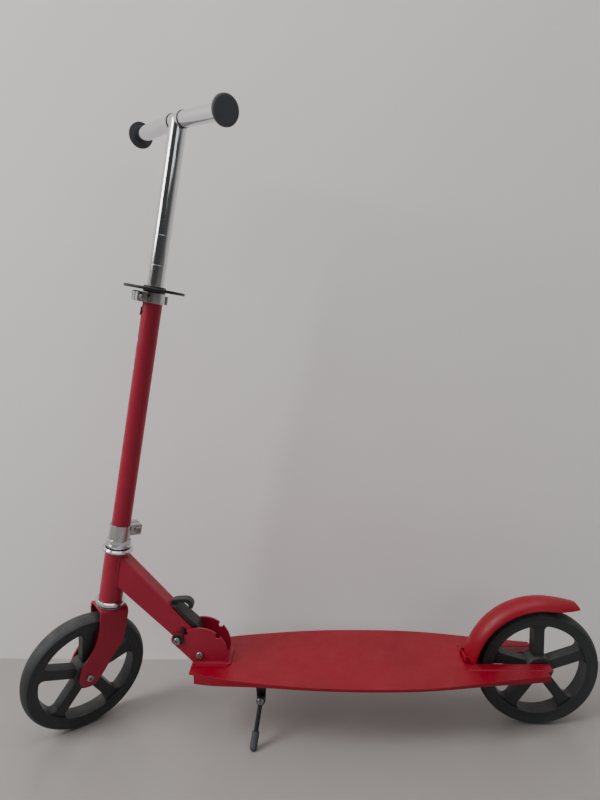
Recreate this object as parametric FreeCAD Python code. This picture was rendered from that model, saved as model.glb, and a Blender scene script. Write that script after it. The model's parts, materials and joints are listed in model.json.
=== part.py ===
import FreeCAD, Part
import math
import os

# A folding kick scooter with two large wheels, standing on its kickstand with the
# handlebar turned to the left.  Millimetres and degrees.
#
# Upright frame, before the scooter is leant over: -X is the direction of travel,
# -Y is the rider's left, +Z is up.  X = 0 is the rear axle and Z = 0 is the floor.
# Steering frame: X is rearward from the steering axis, Z runs up the axis and
# Z = 0 is the foot of the perpendicular from the front axle.

# ---- wheels ----
WHEEL_RADIUS = 100.0
TYRE_WIDTH = 30.0
TYRE_CROWN_RADIUS = 22.0
RIM_RADIUS = 86.0
RIM_INNER_RADIUS = 77.0
RIM_WIDTH = 26.0
WEB_WIDTH = 19.0
HUB_RADIUS = 23.0
SPOKE_COUNT = 5
SPOKE_WIDTH = 17.0
BEARING_OUTER_RADIUS = 11.0
BEARING_INNER_RADIUS = 4.05
BEARING_WIDTH = 7.0
AXLE_RADIUS = 3.97
AXLE_SCREW_RADIUS = 2.95
WHEELBASE = 756.6
FRONT_SPOKE_TURN = 24.0
REAR_SPOKE_TURN = 19.5

# ---- rest attitude ----
LEAN = 3.0
STEER_TURN = 41.0

# ---- steering axis ----
HEAD_TILT = 10.57
FORK_OFFSET = 26.7

# ---- deck ----
DECK_TOP = 112.5
DECK_THICKNESS = 2.5
DECK_NOSE = -571.0
SKIRT_NOSE = -563.0
SKIRT_THICKNESS = 2.4
PRONG_END = 4.0
WHEEL_SLOT_FRONT = -123.0
ARM_INNER = 17.0
ARM_OUTER = 35.0
ARM_WALL = 2.5
ARM_TOP = 113.0
ARM_BOTTOM = 88.0
ARM_FRONT = -215.0
ARM_END = 14.0
BEAM_HALF_WIDTH = 33.0
BEAM_BOTTOM = 85.0
BEAM_FRONT = -561.0
BEAM_REAR = -225.0
BEAM_WALL = 2.5

# ---- folding bracket ----
FOLD_X = -558.0
FOLD_Z = 128.0
FOLD_ANGLE = 75.0
PLATE_RADIUS = 46.0
PLATE_INNER = 16.5
PLATE_OUTER = 20.0
STOP_X = -594.0
STOP_Z = 154.0
BASE_THICKNESS = 2.5
LOCK_PIN_RADIUS = 3.5
LOCK_TRAVEL = 6.5
LOCK_PIN_REACH = 50.0
LOCK_PIN_ANGLE = 123.0
BRACKET_BOLT_RADIUS = 3.95

# ---- down tube ----
DOWN_HALF_WIDTH = 16.0
DOWN_WALL = 2.0
DOWN_TOP_SLOPE = 48.04
DOWN_BOTTOM_SLOPE = 44.15

# ---- head tube and headset, distances up the steering axis ----
HEAD_RADIUS = 19.0
HEAD_BORE = 15.5
HEAD_BOTTOM = 124.5
HEAD_TOP = 209.0
LOWER_CUP_RADIUS = 23.5
UPPER_CUP_RADIUS = 25.0
STEERER_RADIUS = 13.15
STEERER_TOP = 262.0
CROWN_TOP = 114.0

# ---- fork ----
FORK_HALF_WIDTH = 23.0
FORK_THICKNESS = 4.0

# ---- stem ----
STEM_RADIUS = 15.0
STEM_BORE = 13.25
STEM_BOTTOM = 231.0
STEM_TOP = 627.0
HOLE_TOP = 599.5
HOLE_PITCH = 44.5
HOLE_RADIUS = 4.5
HOLE_TURN = 25.0
LOWER_COLLAR_BOTTOM = 229.5
LOWER_COLLAR_TOP = 254.5
UPPER_COLLAR_BOTTOM = 613.5
UPPER_COLLAR_TOP = 629.0
COLLAR_RADIUS = 17.2
SKEWER_REACH = 23.0
SKEWER_HEIGHT = 621.5

# ---- handlebar ----
INNER_TUBE_RADIUS = 13.15
INNER_TUBE_BORE = 11.4
INNER_TUBE_BOTTOM = 575.0
BAR_HEIGHT = 883.0
BAR_RADIUS = 11.7
BAR_BORE = 9.9
SLEEVE_HALF_LENGTH = 16.0
BAR_REACH = 131.0
BAR_DROOP = 2.6
CAP_RADIUS = 20.5
BUTTON_RADIUS = 3.9
BUTTON_TRAVEL = 4.4

# ---- strap plate ----
STRAP_PLATE_HEIGHT = 634.5
STRAP_PLATE_RADIUS = 46.0

# ---- the part of the deck that the rider stands on ----
STANDING_FRONT = -500.0
STANDING_REAR = -150.0
# ---- fender ----
FENDER_RADIUS = 121.5
FENDER_WALL = 2.0
FENDER_HALF_WIDTH = 22.0
FENDER_SKIRT_RADIUS = 106.5
FENDER_PIN_X = -114.0
FENDER_PIN_Z = 102.0
FENDER_BEND_ANGLE = 84.0
FENDER_TAIL_RADIUS = 260.0
FENDER_TAIL_LENGTH = 50.0
FENDER_FOOT_ANGLE = 172.5

# ---- kickstand ----
STAND_EYE = (-456.0, -47.0, 66.0)
STAND_FOOT = (-465.7, -78.0, 9.0)
STAND_ROD_RADIUS = 3.6
STAND_FOOT_RADIUS = 5.8
STAND_SCREWS = (-477.0, -433.0)
STAND_SCREW_SIDE = -44.0

ORIGIN = FreeCAD.Vector(0, 0, 0)
X_AXIS = FreeCAD.Vector(1, 0, 0)
Y_AXIS = FreeCAD.Vector(0, 1, 0)
Z_AXIS = FreeCAD.Vector(0, 0, 1)
REAR_HUB = FreeCAD.Vector(0, 0, WHEEL_RADIUS)


# ---------------------------------------------------------------- small tools

def vec(x, y, z):
    return FreeCAD.Vector(x, y, z)


def rod(radius, start, end):
    """A round bar between two points."""
    span = end.sub(start)
    return Part.makeCylinder(radius, span.Length, start, span)


def pipe(outer, inner, start, end):
    """A round tube between two points."""
    return rod(outer, start, end).cut(rod(inner, start, end))


def block(x0, x1, y0, y1, z0, z1):
    """A box given by its limits."""
    return Part.makeBox(x1 - x0, y1 - y0, z1 - z0, vec(x0, y0, z0))


def slab(outline, y0, y1):
    """A flat plate across the scooter, from a closed outline of (x, z) points."""
    points = [vec(x, y0, z) for x, z in outline]
    face = Part.Face(Part.makePolygon(points + [points[0]]))
    return face.extrude(vec(0, y1 - y0, 0))


def spline(points):
    """A smooth edge through the points."""
    curve = Part.BSplineCurve()
    curve.interpolate(points)
    return curve.toShape()


def straight_edges(shape, direction, test=None):
    """The straight edges of a shape that run along a direction."""
    found = []
    for edge in shape.Edges:
        if len(edge.Vertexes) < 2:
            continue
        run = edge.Vertexes[1].Point.sub(edge.Vertexes[0].Point)
        if run.Length < 1e-6 or abs(run.Length - edge.Length) > 1e-4:
            continue
        if abs(run.normalize().dot(direction)) < 0.999:
            continue
        if test is None or test(edge.CenterOfMass):
            found.append(edge)
    return found


def softened(shape, radius, direction, test=None):
    """The shape with its edges along a direction rounded off."""
    edges = straight_edges(shape, direction, test)
    if not edges:
        return shape
    return shape.makeFillet(radius, edges)


def ring(pitch_radius, wire_radius, centre, axis):
    """One closed turn of round wire."""
    return Part.makeTorus(pitch_radius, wire_radius, centre, axis)


def button_bolt(start, direction, length, shank_radius, head_radius, head_height):
    """A domed socket bolt; start is the seat of the head, direction is down the shank."""
    along = FreeCAD.Vector(direction).normalize()
    head = rod(head_radius, start, start.sub(along * head_height))
    rim = max(head.Edges, key=lambda edge: edge.CenterOfMass.sub(start).dot(along * -1.0))
    head = head.makeFillet(head_height * 0.55, [rim])
    shank = rod(shank_radius, start, start.add(along * length))
    socket = hexagon_bar(head_radius * 0.48, start.sub(along * head_height), along, head_height * 0.7)
    return head.fuse(shank).cut(socket)


def hexagon_bar(corner_radius, start, along, length):
    """A six-sided bar."""
    side = along.cross(vec(0.31, 0.47, 0.83)).normalize()
    points = []
    for step in range(7):
        turn = FreeCAD.Rotation(along, step * 60.0)
        points.append(start.add(turn.multVec(side) * corner_radius))
    return Part.Face(Part.makePolygon(points)).extrude(along * length)


def nut(start, direction, height, flats, bore_radius):
    """A plain hexagon nut."""
    along = FreeCAD.Vector(direction).normalize()
    body = hexagon_bar(flats / math.sqrt(3.0), start, along, height)
    return body.cut(rod(bore_radius, start, start.add(along * height)))


def compound(shapes):
    return Part.makeCompound(shapes)


def turned(shape, centre, axis, angle):
    """A copy turned about an axis."""
    copy = shape.copy()
    copy.rotate(centre, axis, angle)
    return copy


def moved(shape, offset):
    copy = shape.copy()
    copy.translate(offset)
    return copy


def mirrored(shape):
    """The same piece for the other side of the scooter."""
    return shape.mirror(ORIGIN, Y_AXIS)


# ---------------------------------------------------------------- frames

def steering_placement():
    """From the steering frame to the upright frame, wheel straight ahead."""
    tilt = FreeCAD.Rotation(Y_AXIS, HEAD_TILT)
    foot = vec(-WHEELBASE, 0, WHEEL_RADIUS).add(tilt.multVec(X_AXIS) * FORK_OFFSET)
    return FreeCAD.Placement(foot, tilt)


def steered_placement():
    """From the steering frame to the upright frame, wheel turned as it stands."""
    turn = FreeCAD.Placement(ORIGIN, FreeCAD.Rotation(Z_AXIS, STEER_TURN))
    return steering_placement().multiply(turn)


def tyre_bottom(centre, axle):
    """Height of the lowest point of a round-crowned tyre."""
    hoop = WHEEL_RADIUS - TYRE_CROWN_RADIUS
    return centre.z - hoop * math.sqrt(1.0 - axle.z ** 2) - TYRE_CROWN_RADIUS


def rest_placement():
    """Lean the scooter onto its kickstand, with both tyres on the floor."""
    steered = steered_placement()
    front_hub = steered.multVec(vec(-FORK_OFFSET, 0, 0))
    front_axle = steered.Rotation.multVec(Y_AXIS)
    low = -3.0
    high = 3.0
    for _ in range(60):
        pitch = 0.5 * (low + high)
        spin = FreeCAD.Rotation(X_AXIS, LEAN).multiply(FreeCAD.Rotation(Y_AXIS, pitch))
        rear = tyre_bottom(spin.multVec(REAR_HUB), spin.multVec(Y_AXIS))
        front = tyre_bottom(spin.multVec(front_hub), spin.multVec(front_axle))
        if front > rear:
            high = pitch
        else:
            low = pitch
    return FreeCAD.Placement(vec(0, 0, -rear), spin)


REST = rest_placement()
STEERING = REST.multiply(steering_placement())
STEERED = REST.multiply(steered_placement())
FRAMES = {"deck": REST, "head": STEERING, "steered": STEERED}


# ---------------------------------------------------------------- wheels

def wheel_tyre():
    """Solid tyre, flat where it grips the rim and round-crowned outside."""
    half = TYRE_WIDTH / 2.0
    shoulder = WHEEL_RADIUS - TYRE_CROWN_RADIUS + math.sqrt(TYRE_CROWN_RADIUS ** 2 - half ** 2)
    inner = RIM_WIDTH / 2.0
    foot = [vec(RIM_RADIUS, inner, 0), vec(RIM_RADIUS, -inner, 0)]
    left = vec(shoulder, -half, 0)
    right = vec(shoulder, half, 0)
    edges = [
        Part.makeLine(foot[0], foot[1]),
        Part.makeLine(foot[1], left),
        Part.Arc(left, vec(WHEEL_RADIUS, 0, 0), right).toShape(),
        Part.makeLine(right, foot[0]),
    ]
    return Part.Face(Part.Wire(edges)).revolve(ORIGIN, Y_AXIS, 360)


def spoke_gap():
    """One rounded opening between two spokes, centred on +X."""
    half_angle = math.pi / SPOKE_COUNT
    apex = SPOKE_WIDTH / 2.0 / math.sin(half_angle)
    edge_offset = SPOKE_WIDTH / 2.0
    reach = math.sqrt(RIM_INNER_RADIUS ** 2 - edge_offset ** 2)
    corner_x = reach * math.cos(half_angle) + edge_offset * math.sin(half_angle)
    corner_z = reach * math.sin(half_angle) - edge_offset * math.cos(half_angle)
    y = -WEB_WIDTH
    start = vec(apex, y, 0)
    upper = vec(corner_x, y, corner_z)
    lower = vec(corner_x, y, -corner_z)
    edges = [
        Part.makeLine(start, upper),
        Part.Arc(upper, vec(RIM_INNER_RADIUS, y, 0), lower).toShape(),
        Part.makeLine(lower, start),
    ]
    gap = Part.Face(Part.Wire(edges)).extrude(vec(0, 2 * WEB_WIDTH, 0))
    return softened(gap, 8.5, Y_AXIS, lambda middle: middle.x > 2 * apex)


def wheel_core(hub_width, spoke_turn):
    """One-piece moulded wheel: hub, five spokes and rim, with two bearing pockets."""
    web = pipe(RIM_INNER_RADIUS + 1.0, 9.0, vec(0, -WEB_WIDTH / 2, 0), vec(0, WEB_WIDTH / 2, 0))
    gap = spoke_gap()
    for index in range(SPOKE_COUNT):
        angle = spoke_turn + (index + 0.5) * 360.0 / SPOKE_COUNT
        web = web.cut(turned(gap, ORIGIN, Y_AXIS, -angle))
    half = hub_width / 2.0
    hub = pipe(HUB_RADIUS, 9.0, vec(0, -half, 0), vec(0, half, 0))
    hub = hub.makeFillet(3.0, [e for e in hub.Edges if abs(e.Length - 2 * math.pi * HUB_RADIUS) < 0.5
                               and abs(abs(e.CenterOfMass.y) - half) < 0.1])
    edge = RIM_WIDTH / 2.0
    rim = pipe(RIM_RADIUS, RIM_INNER_RADIUS, vec(0, -edge, 0), vec(0, edge, 0))
    core = web.fuse([hub, rim])
    for side in (-1.0, 1.0):
        pocket = rod(BEARING_OUTER_RADIUS, vec(0, side * half, 0), vec(0, side * (half - BEARING_WIDTH), 0))
        core = core.cut(pocket)
    return core.removeSplitter()


def ball_bearing(start_y, direction):
    """Two rings with seven balls between them."""
    end_y = start_y + direction * BEARING_WIDTH
    outer = pipe(BEARING_OUTER_RADIUS, 9.2, vec(0, start_y, 0), vec(0, end_y, 0))
    inner = pipe(5.9, BEARING_INNER_RADIUS, vec(0, start_y, 0), vec(0, end_y, 0))
    middle = 0.5 * (start_y + end_y)
    balls = []
    for index in range(7):
        angle = index * 2 * math.pi / 7
        balls.append(Part.makeSphere(1.6, vec(7.55 * math.cos(angle), middle, 7.55 * math.sin(angle))))
    return [outer, inner] + balls


def wheel_bearings(hub_width):
    """The pair of ball bearings of one wheel, with the sleeve that spaces them."""
    half = hub_width / 2.0
    pieces = ball_bearing(-half, 1.0) + ball_bearing(half, -1.0)
    span = half - BEARING_WIDTH
    pieces.append(pipe(5.6, 4.3, vec(0, -span, 0), vec(0, span, 0)))
    return compound(pieces)


FRONT_HUB_WIDTH = 35.0
REAR_HUB_WIDTH = 31.0
FRONT_HUB = FreeCAD.Vector(-FORK_OFFSET, 0, 0)


# ---------------------------------------------------------------- deck

def deck_side(inset, z):
    """The curved side of the deck seen from above, on the rider's right."""
    stations = [
        (DECK_NOSE, 46.0), (-553.0, 51.0), (-539.0, 55.0), (-501.0, 64.0),
        (-461.0, 70.5), (-396.0, 79.0), (-340.0, 83.0), (-288.0, 84.0),
        (-211.0, 82.0), (-151.0, 75.0), (-113.0, 68.0), (-68.0, 60.0),
        (-30.0, 54.0), (PRONG_END, 48.5),
    ]
    return spline([vec(x, half - inset, z) for x, half in stations])


def deck_half_plate():
    """Half of the top plate, on the rider's right, with its slot for the rear wheel."""
    z = DECK_TOP - DECK_THICKNESS
    side = deck_side(0.0, z)
    ends = [side.Vertexes[0].Point, side.Vertexes[-1].Point]
    path = [
        ends[1],
        vec(PRONG_END, ARM_OUTER + 0.1, z),
        vec(WHEEL_SLOT_FRONT, ARM_OUTER + 0.1, z),
        vec(WHEEL_SLOT_FRONT, 0, z),
        vec(DECK_NOSE, 0, z),
        ends[0],
    ]
    wire = Part.Wire([side] + Part.makePolygon(path).Edges)
    return Part.Face(wire).extrude(vec(0, 0, DECK_THICKNESS))


def skirt_profile():
    """The side view of the turned-down edge: deep at the nose, shallow along the deck."""
    top = DECK_TOP - DECK_THICKNESS
    lower = spline([
        vec(SKIRT_NOSE, -100, 95.5), vec(-540, -100, 97.2), vec(-501, -100, 102.0),
        vec(-447, -100, 106.2), vec(-396, -100, 107.6), vec(-300, -100, 108.0),
        vec(-180, -100, 108.0), vec(-113, -100, 106.8), vec(-60, -100, 104.6),
        vec(PRONG_END, -100, 103.2),
    ])
    upper = [
        lower.Vertexes[-1].Point,
        vec(PRONG_END, -100, top),
        vec(SKIRT_NOSE, -100, top),
        lower.Vertexes[0].Point,
    ]
    return Part.Face(Part.Wire([lower] + Part.makePolygon(upper).Edges)).extrude(vec(0, 200, 0))


def deck_half_skirt(profile):
    """The turned-down edge along one side."""
    z = 90.0
    outer = deck_side(0.0, z)
    inner = deck_side(SKIRT_THICKNESS, z)
    front = Part.makeLine(outer.Vertexes[0].Point, inner.Vertexes[0].Point)
    rear = Part.makeLine(outer.Vertexes[-1].Point, inner.Vertexes[-1].Point)
    strip = Part.Face(Part.Wire(Part.__sortEdges__([outer, rear, inner, front])))
    return strip.extrude(vec(0, 0, 30)).common(profile)


def deck_plate():
    """The pressed steel standing deck."""
    half = deck_half_plate().fuse(deck_half_skirt(skirt_profile()))
    nose = block(SKIRT_NOSE, SKIRT_NOSE + SKIRT_THICKNESS, 0, 47.5, 95.5, DECK_TOP - DECK_THICKNESS)
    half = half.fuse(nose)
    deck = half.fuse(mirrored(half)).removeSplitter()
    for x in STAND_SCREWS:
        deck = deck.cut(rod(2.6, vec(x, STAND_SCREW_SIDE, DECK_TOP - 5), vec(x, STAND_SCREW_SIDE, DECK_TOP - 0.5)))
    # the clear standing area, between the bracket and the mudguard, keeps a top face of its own
    standing = block(STANDING_FRONT, STANDING_REAR, -200, 200, 0, DECK_TOP + 10)
    return deck.cut(standing).fuse(deck.common(standing))


def deck_beam():
    """The folded channel that stiffens the deck from below."""
    top = DECK_TOP - DECK_THICKNESS
    outer = block(BEAM_FRONT + 1.0, BEAM_REAR, -BEAM_HALF_WIDTH, BEAM_HALF_WIDTH, BEAM_BOTTOM, top)
    outer = softened(outer, 4.0, X_AXIS, lambda middle: middle.z < BEAM_BOTTOM + 1.0)
    reach = BEAM_HALF_WIDTH - BEAM_WALL
    inner = block(BEAM_FRONT - 5.0, BEAM_REAR + 5.0, -reach, reach, BEAM_BOTTOM + BEAM_WALL, top + 5.0)
    return outer.cut(inner)


def rear_arm_right():
    """One of the two channels that carry the rear axle, open on its outer side."""
    shell = block(ARM_FRONT, ARM_END, ARM_INNER, ARM_OUTER, ARM_BOTTOM, ARM_TOP)
    shell = softened(shell, 3.0, X_AXIS, lambda middle: middle.y > ARM_OUTER - 1.0)
    hollow = block(ARM_FRONT - 5, ARM_END + 5, ARM_INNER + ARM_WALL, ARM_OUTER + 5,
                   ARM_BOTTOM + ARM_WALL, ARM_TOP - ARM_WALL)
    arm = shell.cut(hollow)
    tuck = block(ARM_FRONT - 5, WHEEL_SLOT_FRONT + 0.2, ARM_INNER - 5, ARM_OUTER + 5,
                 DECK_TOP - DECK_THICKNESS, ARM_TOP + 5)
    lid = block(ARM_FRONT, WHEEL_SLOT_FRONT + 0.2, ARM_INNER, ARM_OUTER,
                DECK_TOP - DECK_THICKNESS - ARM_WALL, DECK_TOP - DECK_THICKNESS)
    arm = arm.cut(tuck).fuse(lid)
    taper = slab([(-150, ARM_BOTTOM - 1), (ARM_END + 5, ARM_BOTTOM - 1), (ARM_END + 5, 92.5), (-60, 91.5)],
                 ARM_INNER - 5, ARM_OUTER + 5)
    arm = arm.cut(taper)
    floor = slab([(-150, ARM_BOTTOM), (-60, 91.5), (ARM_END, 92.5), (ARM_END, 94.0), (-60, 93.3),
                  (-150, 90.5)], ARM_INNER, ARM_OUTER - 1.5)
    arm = arm.fuse(floor)
    dropout = block(0, ARM_END + 5, ARM_INNER - 5, ARM_INNER + ARM_WALL + 0.5,
                    WHEEL_RADIUS - 4.1, WHEEL_RADIUS + 4.1)
    dropout = dropout.fuse(rod(4.1, vec(0, ARM_INNER - 5, WHEEL_RADIUS),
                               vec(0, ARM_INNER + ARM_WALL + 0.5, WHEEL_RADIUS)))
    pin_hole = rod(3.05, vec(FENDER_PIN_X, 0, FENDER_PIN_Z), vec(FENDER_PIN_X, 60, FENDER_PIN_Z))
    return arm.cut(dropout).cut(pin_hole).removeSplitter()


def sleeve_bolt(centre, half_span):
    """An axle made as a headed sleeve, drilled at its far end for a screw."""
    seat = centre.sub(vec(0, half_span, 0))
    end = centre.add(vec(0, half_span - 0.2, 0))
    bolt = button_bolt(seat, Y_AXIS, 2 * half_span - 0.2, AXLE_RADIUS, 5.7, 3.8)
    return bolt.cut(rod(AXLE_SCREW_RADIUS, end.sub(vec(0, 16, 0)), end.add(vec(0, 1, 0))))


def sleeve_screw(centre, half_span):
    """The headed screw that closes the far end of an axle sleeve."""
    seat = centre.add(vec(0, half_span, 0))
    return button_bolt(seat, vec(0, -1, 0), 14.0, AXLE_SCREW_RADIUS, 5.7, 3.8)


def rear_axle_bolt():
    """Axle through both arms, its head inside the left-hand channel."""
    return sleeve_bolt(REAR_HUB, ARM_INNER + ARM_WALL + 1.2)


def rear_axle_screw():
    return sleeve_screw(REAR_HUB, ARM_INNER + ARM_WALL + 1.2)


def rear_axle_washers():
    """Outer washers under the head and nut, and inner spacers against the bearings."""
    wall = ARM_INNER + ARM_WALL
    start = REAR_HUB_WIDTH / 2.0 + 0.25
    pieces = []
    for side in (-1.0, 1.0):
        pieces.append(pipe(5.8, AXLE_RADIUS + 0.1, vec(0, side * wall, WHEEL_RADIUS),
                           vec(0, side * (wall + 1.2), WHEEL_RADIUS)))
        pieces.append(pipe(5.8, AXLE_RADIUS + 0.1, vec(0, side * start, WHEEL_RADIUS),
                           vec(0, side * ARM_INNER, WHEEL_RADIUS)))
    return compound(pieces)


# ---------------------------------------------------------------- folding bracket

def bracket_base():
    """The flat foot of the folding bracket, welded on the deck."""
    base = block(DECK_NOSE + 1.5, FOLD_X + 51.0, -25.0, 25.0, DECK_TOP, DECK_TOP + BASE_THICKNESS)
    return softened(base, 4.0, Z_AXIS)


def fold_turn(shape, angle):
    """Turned about the folding pivot; positive lets the stem down onto the deck."""
    return turned(shape, vec(FOLD_X, 0, FOLD_Z), Y_AXIS, angle)


def slide_direction():
    """Up the upper face of the down tube."""
    slope = math.radians(DOWN_TOP_SLOPE)
    return vec(-math.cos(slope), 0, math.sin(slope))


def lock_pin_centre():
    """The locking pin, drawn back clear of its notch."""
    angle = math.radians(LOCK_PIN_ANGLE)
    return vec(FOLD_X + LOCK_PIN_REACH * math.cos(angle), 0, FOLD_Z + LOCK_PIN_REACH * math.sin(angle))


def lock_notch():
    """The slot that the locking pin slides into."""
    reach = LOCK_PIN_RADIUS + 0.35
    seat = lock_pin_centre().sub(slide_direction() * (LOCK_TRAVEL + 0.15))
    mouth = seat.add(slide_direction() * 16.0)
    across = slide_direction().cross(Y_AXIS) * reach
    outline = [seat.sub(across), mouth.sub(across), mouth.add(across), seat.add(across)]
    channel = slab([(point.x, point.z) for point in outline], -30, 30)
    return channel.fuse(rod(reach, vec(seat.x, -30, seat.z), vec(seat.x, 30, seat.z)))


def side_plate_right():
    """A half-round plate with two locking notches and a forward lug for the stop bolt."""
    inner = PLATE_INNER
    outer = PLATE_OUTER
    disc = rod(PLATE_RADIUS, vec(FOLD_X, inner, FOLD_Z), vec(FOLD_X, outer, FOLD_Z))
    lug = rod(10.0, vec(STOP_X, inner, STOP_Z), vec(STOP_X, outer, STOP_Z))
    floor = DECK_TOP + BASE_THICKNESS
    web = slab([(DECK_NOSE + 2.0, floor), (-602.5, STOP_Z - 5.3), (STOP_X + 3.0, STOP_Z + 9.0), (-583.0, 164.5),
                (FOLD_X, FOLD_Z + 20.0), (FOLD_X + 44.0, floor)], inner, outer)
    front = slab([(-640.0, floor - 5), (-568.0, floor - 5), (-568.0, floor - 1.0), (-602.5, STOP_Z - 5.3),
                  (-640.0, STOP_Z - 5.3)], inner - 1, outer + 1)
    plate = disc.cut(front).fuse([lug, web])
    plate = plate.cut(block(-700, -400, inner - 1, outer + 1, 0, floor))
    plate = plate.cut(lock_notch()).cut(fold_turn(lock_notch(), FOLD_ANGLE))
    for x, z in ((FOLD_X, FOLD_Z), (STOP_X, STOP_Z)):
        plate = plate.cut(rod(BRACKET_BOLT_RADIUS + 0.1, vec(x, inner - 1, z), vec(x, outer + 1, z)))
    return plate.removeSplitter()


def bracket_bolts():
    """The folding pivot bolt and the stop bolt."""
    pivot = button_bolt(vec(FOLD_X, -PLATE_OUTER, FOLD_Z), Y_AXIS, 2 * PLATE_OUTER + 7.5,
                        BRACKET_BOLT_RADIUS, 6.0, 4.0)
    stop = button_bolt(vec(STOP_X, -PLATE_OUTER - 2.2, STOP_Z), Y_AXIS, 2 * PLATE_OUTER + 11.0,
                       BRACKET_BOLT_RADIUS, 6.0, 4.0)
    return compound([pivot, stop])


def bracket_nuts():
    pivot = nut(vec(FOLD_X, PLATE_OUTER, FOLD_Z), Y_AXIS, 6.5, 13.0, BRACKET_BOLT_RADIUS)
    stop = nut(vec(STOP_X, PLATE_OUTER + 2.2, STOP_Z), Y_AXIS, 6.5, 13.0, BRACKET_BOLT_RADIUS)
    return compound([pivot, stop])


def stop_bush():
    """The plastic roller on the stop bolt that the down tube leans against."""
    reach = PLATE_INNER - 0.1
    return pipe(7.0, BRACKET_BOLT_RADIUS + 0.1, vec(STOP_X, -reach, STOP_Z), vec(STOP_X, reach, STOP_Z))


def stop_washers():
    """Dark rounded-square pads under the head and nut of the stop bolt."""
    pads = []
    for side in (-1.0, 1.0):
        y = sorted((side * PLATE_OUTER, side * (PLATE_OUTER + 2.2)))
        pad = block(STOP_X - 6.5, STOP_X + 10.5, y[0], y[1], STOP_Z - 6.5, STOP_Z + 10.5)
        pad = softened(pad, 4.5, Y_AXIS)
        pads.append(pad.cut(rod(BRACKET_BOLT_RADIUS + 0.1, vec(STOP_X, -60, STOP_Z), vec(STOP_X, 60, STOP_Z))))
    return compound(pads)


# ---------------------------------------------------------------- down tube and head tube

def top_line(x):
    """Height of the upper face of the down tube."""
    return 287.6 - math.tan(math.radians(DOWN_TOP_SLOPE)) * (x + 675.0)


def bottom_line(x):
    """Height of the lower face of the down tube."""
    return 231.3 - math.tan(math.radians(DOWN_BOTTOM_SLOPE)) * (x + 676.5)


def down_tube_outline(wall):
    """Side view of the down tube, drawn in by the wall thickness."""
    top_shift = wall / math.cos(math.radians(DOWN_TOP_SLOPE))
    bottom_shift = wall / math.cos(math.radians(DOWN_BOTTOM_SLOPE))
    head_x = -700.0
    return [
        (head_x, top_line(head_x) - top_shift),
        (FOLD_X + 14.7, top_line(FOLD_X + 14.7) - top_shift),
        (FOLD_X - 5.9, bottom_line(FOLD_X - 5.9) + bottom_shift),
        (head_x, bottom_line(head_x) + bottom_shift),
    ]


def head_cylinder(radius, low, high):
    """A cylinder on the steering axis, in the upright frame."""
    body = rod(radius, vec(0, 0, low), vec(0, 0, high))
    body.Placement = steering_placement()
    return body


def down_tube():
    """Box-section tube from the head tube to the folding pivot."""
    reach = DOWN_HALF_WIDTH
    outside = slab(down_tube_outline(0.0), -reach, reach)
    outside = outside.fuse(rod(12.5, vec(FOLD_X, -reach, FOLD_Z), vec(FOLD_X, reach, FOLD_Z)))
    slope = vec(math.cos(math.radians(DOWN_TOP_SLOPE)), 0, -math.sin(math.radians(DOWN_TOP_SLOPE)))
    outside = softened(outside, 3.5, slope)
    inside = slab(down_tube_outline(DOWN_WALL), -reach + DOWN_WALL, reach - DOWN_WALL)
    tube = outside.cut(inside)
    tube = tube.cut(head_cylinder(HEAD_RADIUS, 0, 400))
    tube = tube.cut(lock_window()).cut(lock_slot())
    saddle = rod(7.3, vec(STOP_X, -30, STOP_Z), vec(STOP_X, 30, STOP_Z))
    mouth = slab([(STOP_X + 6.5, STOP_Z - 4.7), (STOP_X - 5.9, STOP_Z + 4.3), (STOP_X - 23.5, STOP_Z - 20.0),
                  (STOP_X - 11.1, STOP_Z - 29.0)], -30, 30)
    tube = tube.cut(saddle.fuse(mouth))
    tube = tube.cut(rod(7.0, vec(FOLD_X, -30, FOLD_Z), vec(FOLD_X, 30, FOLD_Z)))
    return tube.fuse(spring_peg()).removeSplitter()


def lock_slot():
    """Slots through both walls of the down tube for the locking pin to travel in."""
    reach = LOCK_PIN_RADIUS + 0.3
    start = lock_pin_centre().add(slide_direction() * 0.6)
    end = lock_pin_centre().sub(slide_direction() * (LOCK_TRAVEL + 0.3))
    across = slide_direction().cross(Y_AXIS) * reach
    corners = [start.sub(across), start.add(across), end.add(across), end.sub(across)]
    channel = slab([(point.x, point.z) for point in corners], -40, 40)
    ends = [rod(reach, vec(p.x, -40, p.z), vec(p.x, 40, p.z)) for p in (start, end)]
    return channel.fuse(ends)


def on_top_face(x, lift):
    """A point above the upper face of the down tube."""
    slope = math.radians(DOWN_TOP_SLOPE)
    return (x + lift * math.sin(slope), top_line(x) + lift * math.cos(slope))


def lock_window():
    """The opening in the upper face for the tongue of the lock slide."""
    return slab([on_top_face(-596.0, 3.0), on_top_face(-570.0, 3.0), on_top_face(-570.0, -6.0),
                 on_top_face(-596.0, -6.0)], -6.0, 6.0)


def pivot_sleeve():
    """The steel sleeve welded through the end of the down tube."""
    reach = DOWN_HALF_WIDTH
    return pipe(7.0, BRACKET_BOLT_RADIUS + 0.06, vec(FOLD_X, -reach, FOLD_Z), vec(FOLD_X, reach, FOLD_Z))


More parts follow.
